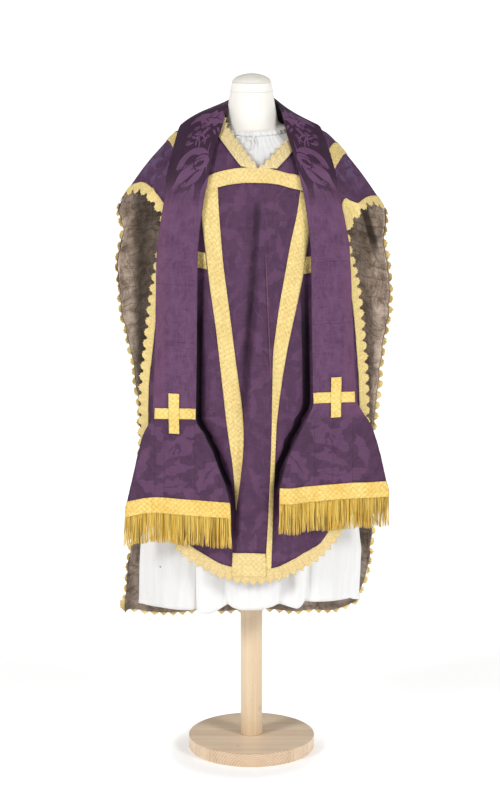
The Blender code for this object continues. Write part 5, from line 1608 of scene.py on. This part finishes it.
def tunic():
    """The white under-tunic with its armholes, its neckband and its tie."""
    columns = 300
    angle = (np.arange(columns) / columns * 2 * math.pi)[None, :]
    rest_height = ring_points(TUNIC_RINGS, np.linspace(0, 1, 151), angle)[..., 2]
    run = np.broadcast_to(angle * 0.19, rest_height.shape)
    uv = np.stack([run, rest_height], -1)
    made = build("tunic_cloth", tunic_drape(angle), LOOKS["cotton"], uv, closed=True)

    bm = bmesh.new()
    bm.from_mesh(made.data)
    holes = []
    for vert in bm.verts:
        across, height = vert.co.y, vert.co.z - ARMHOLE_HEIGHT
        if abs(vert.co.x) > ARMHOLE_X - 0.05 and across**2 + height**2 < ARMHOLE_RADIUS**2:
            holes.append(vert)
    bmesh.ops.delete(bm, geom=holes, context="VERTS")
    bm.to_mesh(made.data)
    bm.free()
    thicken(made, TUNIC_THICK)
    place(baked(made), "tunic", "cotton", "tunic_body")

    half_width, half_depth, front_z, side_z = TUNIC_RINGS[-1]
    rows = np.linspace(0, 1, 9)
    rings = []
    for t in (0, 0.5, 1):
        across, deep = half_width - 0.0006 - 0.004 * t, half_depth - 0.0006 - 0.003 * t
        rings.append((across, deep, front_z + 0.0007 + 0.009 * t, side_z + 0.0007 + 0.007 * t))
    band = ring_points(rings, rows, angle)
    pucker = 0.0007 * np.sin(angle * 40)[..., None]
    band = band + np.stack([np.cos(angle), np.sin(angle), 0 * angle], -1) * pucker
    flat = np.stack(np.broadcast_arrays(angle * 0.066, rows[:, None] * 0.009), -1)
    collar = baked(build("tunic_collar", band, LOOKS["cotton"], flat, 0.0016, closed=True))
    place(collar, "tunic", "cotton", "tunic_neckband")

    bends = smooth(TIE_BENDS)(np.linspace(0, 1, 70))
    drop = np.maximum(bends[:, 2], 0)
    forward = -half_depth - 0.005 - bends[:, 1] - 0.72 * drop
    path = np.stack([bends[:, 0], forward, front_z + 0.003 - bends[:, 2]], -1)
    path[:, 0] += 0.006
    tape = tubes("tunic_tape", path[None], np.full((1, 70), 0.0013), LOOKS["cotton"], 8)
    place(tape, "tunic", "cotton", "tunic_tie")

    top, hem_z = TUNIC_RINGS[-1][2], TUNIC_RINGS[0][2]
    flat = TUNIC_HEM_ROUND, round(top - hem_z + 0.09, 3)


# ---------- stand and form ----------
BASE_RADIUS, BASE_HEIGHT, POLE_RADIUS, POLE_TOP = 0.139, 0.03, 0.024, 1.1
BOLT_TOP, BOLT_HOLE = 0.0752, 0.0054
FORM_RINGS = [
    (0.16, 0.108, 0.7, 0.7), (0.165, 0.111, 0.78, 0.78), (0.156, 0.107, 0.86, 0.86),
    (0.128, 0.094, 0.97, 0.97), (0.148, 0.104, 1.05, 1.05), (0.17, 0.111, 1.13, 1.13),
    (0.181, 0.11, 1.19, 1.235), (0.174, 0.105, 1.24, 1.298), (0.154, 0.096, 1.282, 1.338),
    (0.12, 0.083, 1.312, 1.361), (0.08, 0.067, 1.336, 1.374), (0.06, 0.058, 1.356, 1.382),
    (0.0545, 0.053, 1.392, 1.392), (0.049, 0.048, 1.422, 1.422), (0.0452, 0.0452, 1.448, 1.448),
]
FORM_WALL = 0.004
CAP_RADIUS = 0.041


def turned(name, profile, look, steps=128):
    """A solid turned about Z from (radius, height) points, listed from the top's middle to the bottom's."""
    profile = np.array(profile, float)
    turn = np.arange(steps) / steps * 2 * math.pi
    rings = profile[1:-1]
    radius, height = rings[:, :1], np.repeat(rings[:, 1:], steps, 1)
    points = np.stack([radius * np.cos(turn), radius * np.sin(turn), height], -1)
    count = len(rings) * steps
    index = np.arange(count).reshape(len(rings), steps)
    after = np.roll(index, -1, axis=1)
    walls = quads(index, after).tolist()
    top = [[count, a, b] for a, b in zip(index[0], after[0])]
    low = [[count + 1, b, a] for a, b in zip(index[-1], after[-1])]
    verts = [*points.reshape(-1, 3).tolist(), (0, 0, profile[0, 1]), (0, 0, profile[-1, 1])]
    made = added(name, verts, walls + [[int(k) for k in f] for f in top + low], look)
    made.data.set_sharp_from_angle(angle=math.radians(35))
    return made


def rounded(radius, high, low, bend, steps=5):
    """The profile of a disc's rim with rounded edges, from its top to its underside."""
    arc = np.linspace(0, math.pi / 2, steps)
    top = [(radius - bend + bend * math.sin(a), high - bend + bend * math.cos(a)) for a in arc]
    return top + [(r, low + high - z) for r, z in reversed(top)]


def stand():
    """The staved base, the turned pole, and new looks for the hidden metal and the board."""
    base = turned(
        "base_wood",
        [(0, 0.0086), (BOLT_HOLE, 0.0086), (BOLT_HOLE, BASE_HEIGHT), (0.06, BASE_HEIGHT), (0.11, BASE_HEIGHT),
         *rounded(BASE_RADIUS, BASE_HEIGHT, 0, 0.0022), (0.06, 0), (0, 0)],
        LOOKS["base"], 192,
    )
    place(base, "stand", "beech", "base_disc")
    foot = BASE_HEIGHT + 0.0004
    heights = np.linspace(POLE_TOP - 0.004, foot + 0.002, 24)
    pole = turned(
        "pole_wood",
        [(0, POLE_TOP), (POLE_RADIUS - 0.004, POLE_TOP), (POLE_RADIUS - 0.0012, POLE_TOP - 0.0012),
         *[(POLE_RADIUS, z) for z in heights], (POLE_RADIUS - 0.0006, foot),
         (BOLT_HOLE, foot), (BOLT_HOLE, BOLT_TOP), (0, BOLT_TOP)],
        LOOKS["pole"], 96,
    )
    place(pole, "stand", "beech", "pole")
    for node in ("hanger_bolt", "clamp_collar", "clamp_screw", "guide_tube", "torso_board"):
        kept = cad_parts[node].data.materials
        kept.clear()
        kept.append(LOOKS["plywood" if node == "torso_board" else "steel"])


def form():
    """The canvas dress form with its capped neck."""
    angle = (np.arange(96) / 96 * 2 * math.pi)[None, :]
    v = np.linspace(0, 1, 113)
    points = ring_points(FORM_RINGS, v, angle)
    thinner = [(a - FORM_WALL, b - FORM_WALL, c, d) for a, b, c, d in FORM_RINGS[:-1]]
    thinner.append(tuple(size - FORM_WALL for size in FORM_RINGS[-1]))
    inner = ring_points(thinner, v, angle)
    index = np.arange(points.shape[0] * 96).reshape(-1, 96)
    after = np.roll(index, -1, axis=1)
    total = points.shape[0] * 96
    outside = np.stack([index[:-1], after[:-1], after[1:], index[1:]], -1).reshape(-1, 4)
    inside = outside[:, ::-1] + total
    rim = np.stack([index[0], index[0] + total, after[0] + total, after[0]], -1)
    tops = [index[-1].tolist(), (index[-1][::-1] + total).tolist()]
    faces = np.concatenate([outside, inside, rim]).tolist() + tops
    verts = np.concatenate([points, inner]).reshape(-1, 3).tolist()
    made = added("form_shell", verts, faces, LOOKS["canvas"])
    made.data.set_sharp_from_angle(angle=math.radians(50))
    place(made, "form", "form_canvas", "torso_shell")

    low = FORM_RINGS[-1][2] + 0.0004
    high = low + 0.018
    band = turned(
        "cap_ring",
        [(0, high), (CAP_RADIUS + 0.0004, high), (CAP_RADIUS + 0.001, high - 0.0015),
         (CAP_RADIUS + 0.003, (low + high) / 2), (FORM_RINGS[-1][0], low), (0, low)],
        LOOKS["canvas"],
    )
    place(band, "form", "form_canvas", "cap_band")
    base = high + 0.0004
    arc = np.linspace(0, math.pi / 2, 18)
    dome = [(CAP_RADIUS * math.sin(a) ** 1.15, base + 0.001 + 0.018 * math.cos(a)) for a in arc]
    profile = [(0, base + 0.019), *dome[1:], (CAP_RADIUS - 0.0003, base), (0, base)]
    cap = turned("cap_dome", profile, LOOKS["cap"])
    place(cap, "form", "form_canvas", "neck_cap")


# ---------- stage ----------
FLOOR_GLOW, FLOOR_SHADE, FLOOR_HALF = 0.56, 0.32, 120.0
SHADE_X, SHADE_Y = -0.016, -0.045
WORLD_LIGHT = 0.24
LAMPS = [("left_lamp", -50, 31, 1.42, 17), ("right_lamp", 50, 31, 1.32, 17)]
CAMERA_PLACE, CAMERA_TILT, CAMERA_LENS = (-0.0033, -5.0, 1.8), 78.464, 105.63


def stage():
    """A pale floor that fills the view, a white surround, two soft lights and the camera."""
    paper = Look("floor_paper", 0.9, Specular_IOR_Level=0.1)
    paper.shader.inputs["Base Color"].default_value = (0.93, 0.93, 0.93, 1)
    paper.shader.inputs["Emission Color"].default_value = (1, 1, 1, 1)
    x, y, _ = paper.split("Object")
    x, y = x - SHADE_X, y - SHADE_Y
    near = 1 - (x * x + y * y).ramp((BASE_RADIUS - 0.01) ** 2, (BASE_RADIUS + 0.07) ** 2)
    feed(paper.tree, paper.shader.inputs["Emission Strength"], FLOOR_GLOW - near * FLOOR_SHADE)
    corners = [(FLOOR_HALF * x, FLOOR_HALF * y, 0) for x, y in ((-1, -1), (1, -1), (1, 1), (-1, 1))]
    added("floor", corners, [(0, 1, 2, 3)], paper.material)

    world = bpy.data.worlds.new("white")
    world.use_nodes = True
    world.node_tree.nodes["Background"].inputs["Color"].default_value = (1, 1, 1, 1)
    world.node_tree.nodes["Background"].inputs["Strength"].default_value = WORLD_LIGHT
    bpy.context.scene.world = world

    for name, turn, rise, power, width in LAMPS:
        lamp = bpy.data.lights.new(name, "SUN")
        lamp.energy, lamp.angle = power, math.radians(width)
        lit = bpy.data.objects.new(name, lamp)
        lit.rotation_euler = (math.radians(90 - rise), 0, math.radians(turn))
        bpy.context.scene.collection.objects.link(lit)

    lens = bpy.data.cameras.new("camera")
    lens.lens, lens.sensor_width, lens.sensor_fit = CAMERA_LENS, 36, "AUTO"
    lens.clip_end = 500
    camera = bpy.data.objects.new("camera", lens)
    camera.location = CAMERA_PLACE
    camera.rotation_euler = (math.radians(CAMERA_TILT), 0, 0)
    bpy.context.scene.collection.objects.link(camera)
    bpy.context.scene.camera = camera
    bpy.context.scene.view_settings.view_transform = "Standard"


stand()
form()
tunic()
chasuble()
stole()
stage()
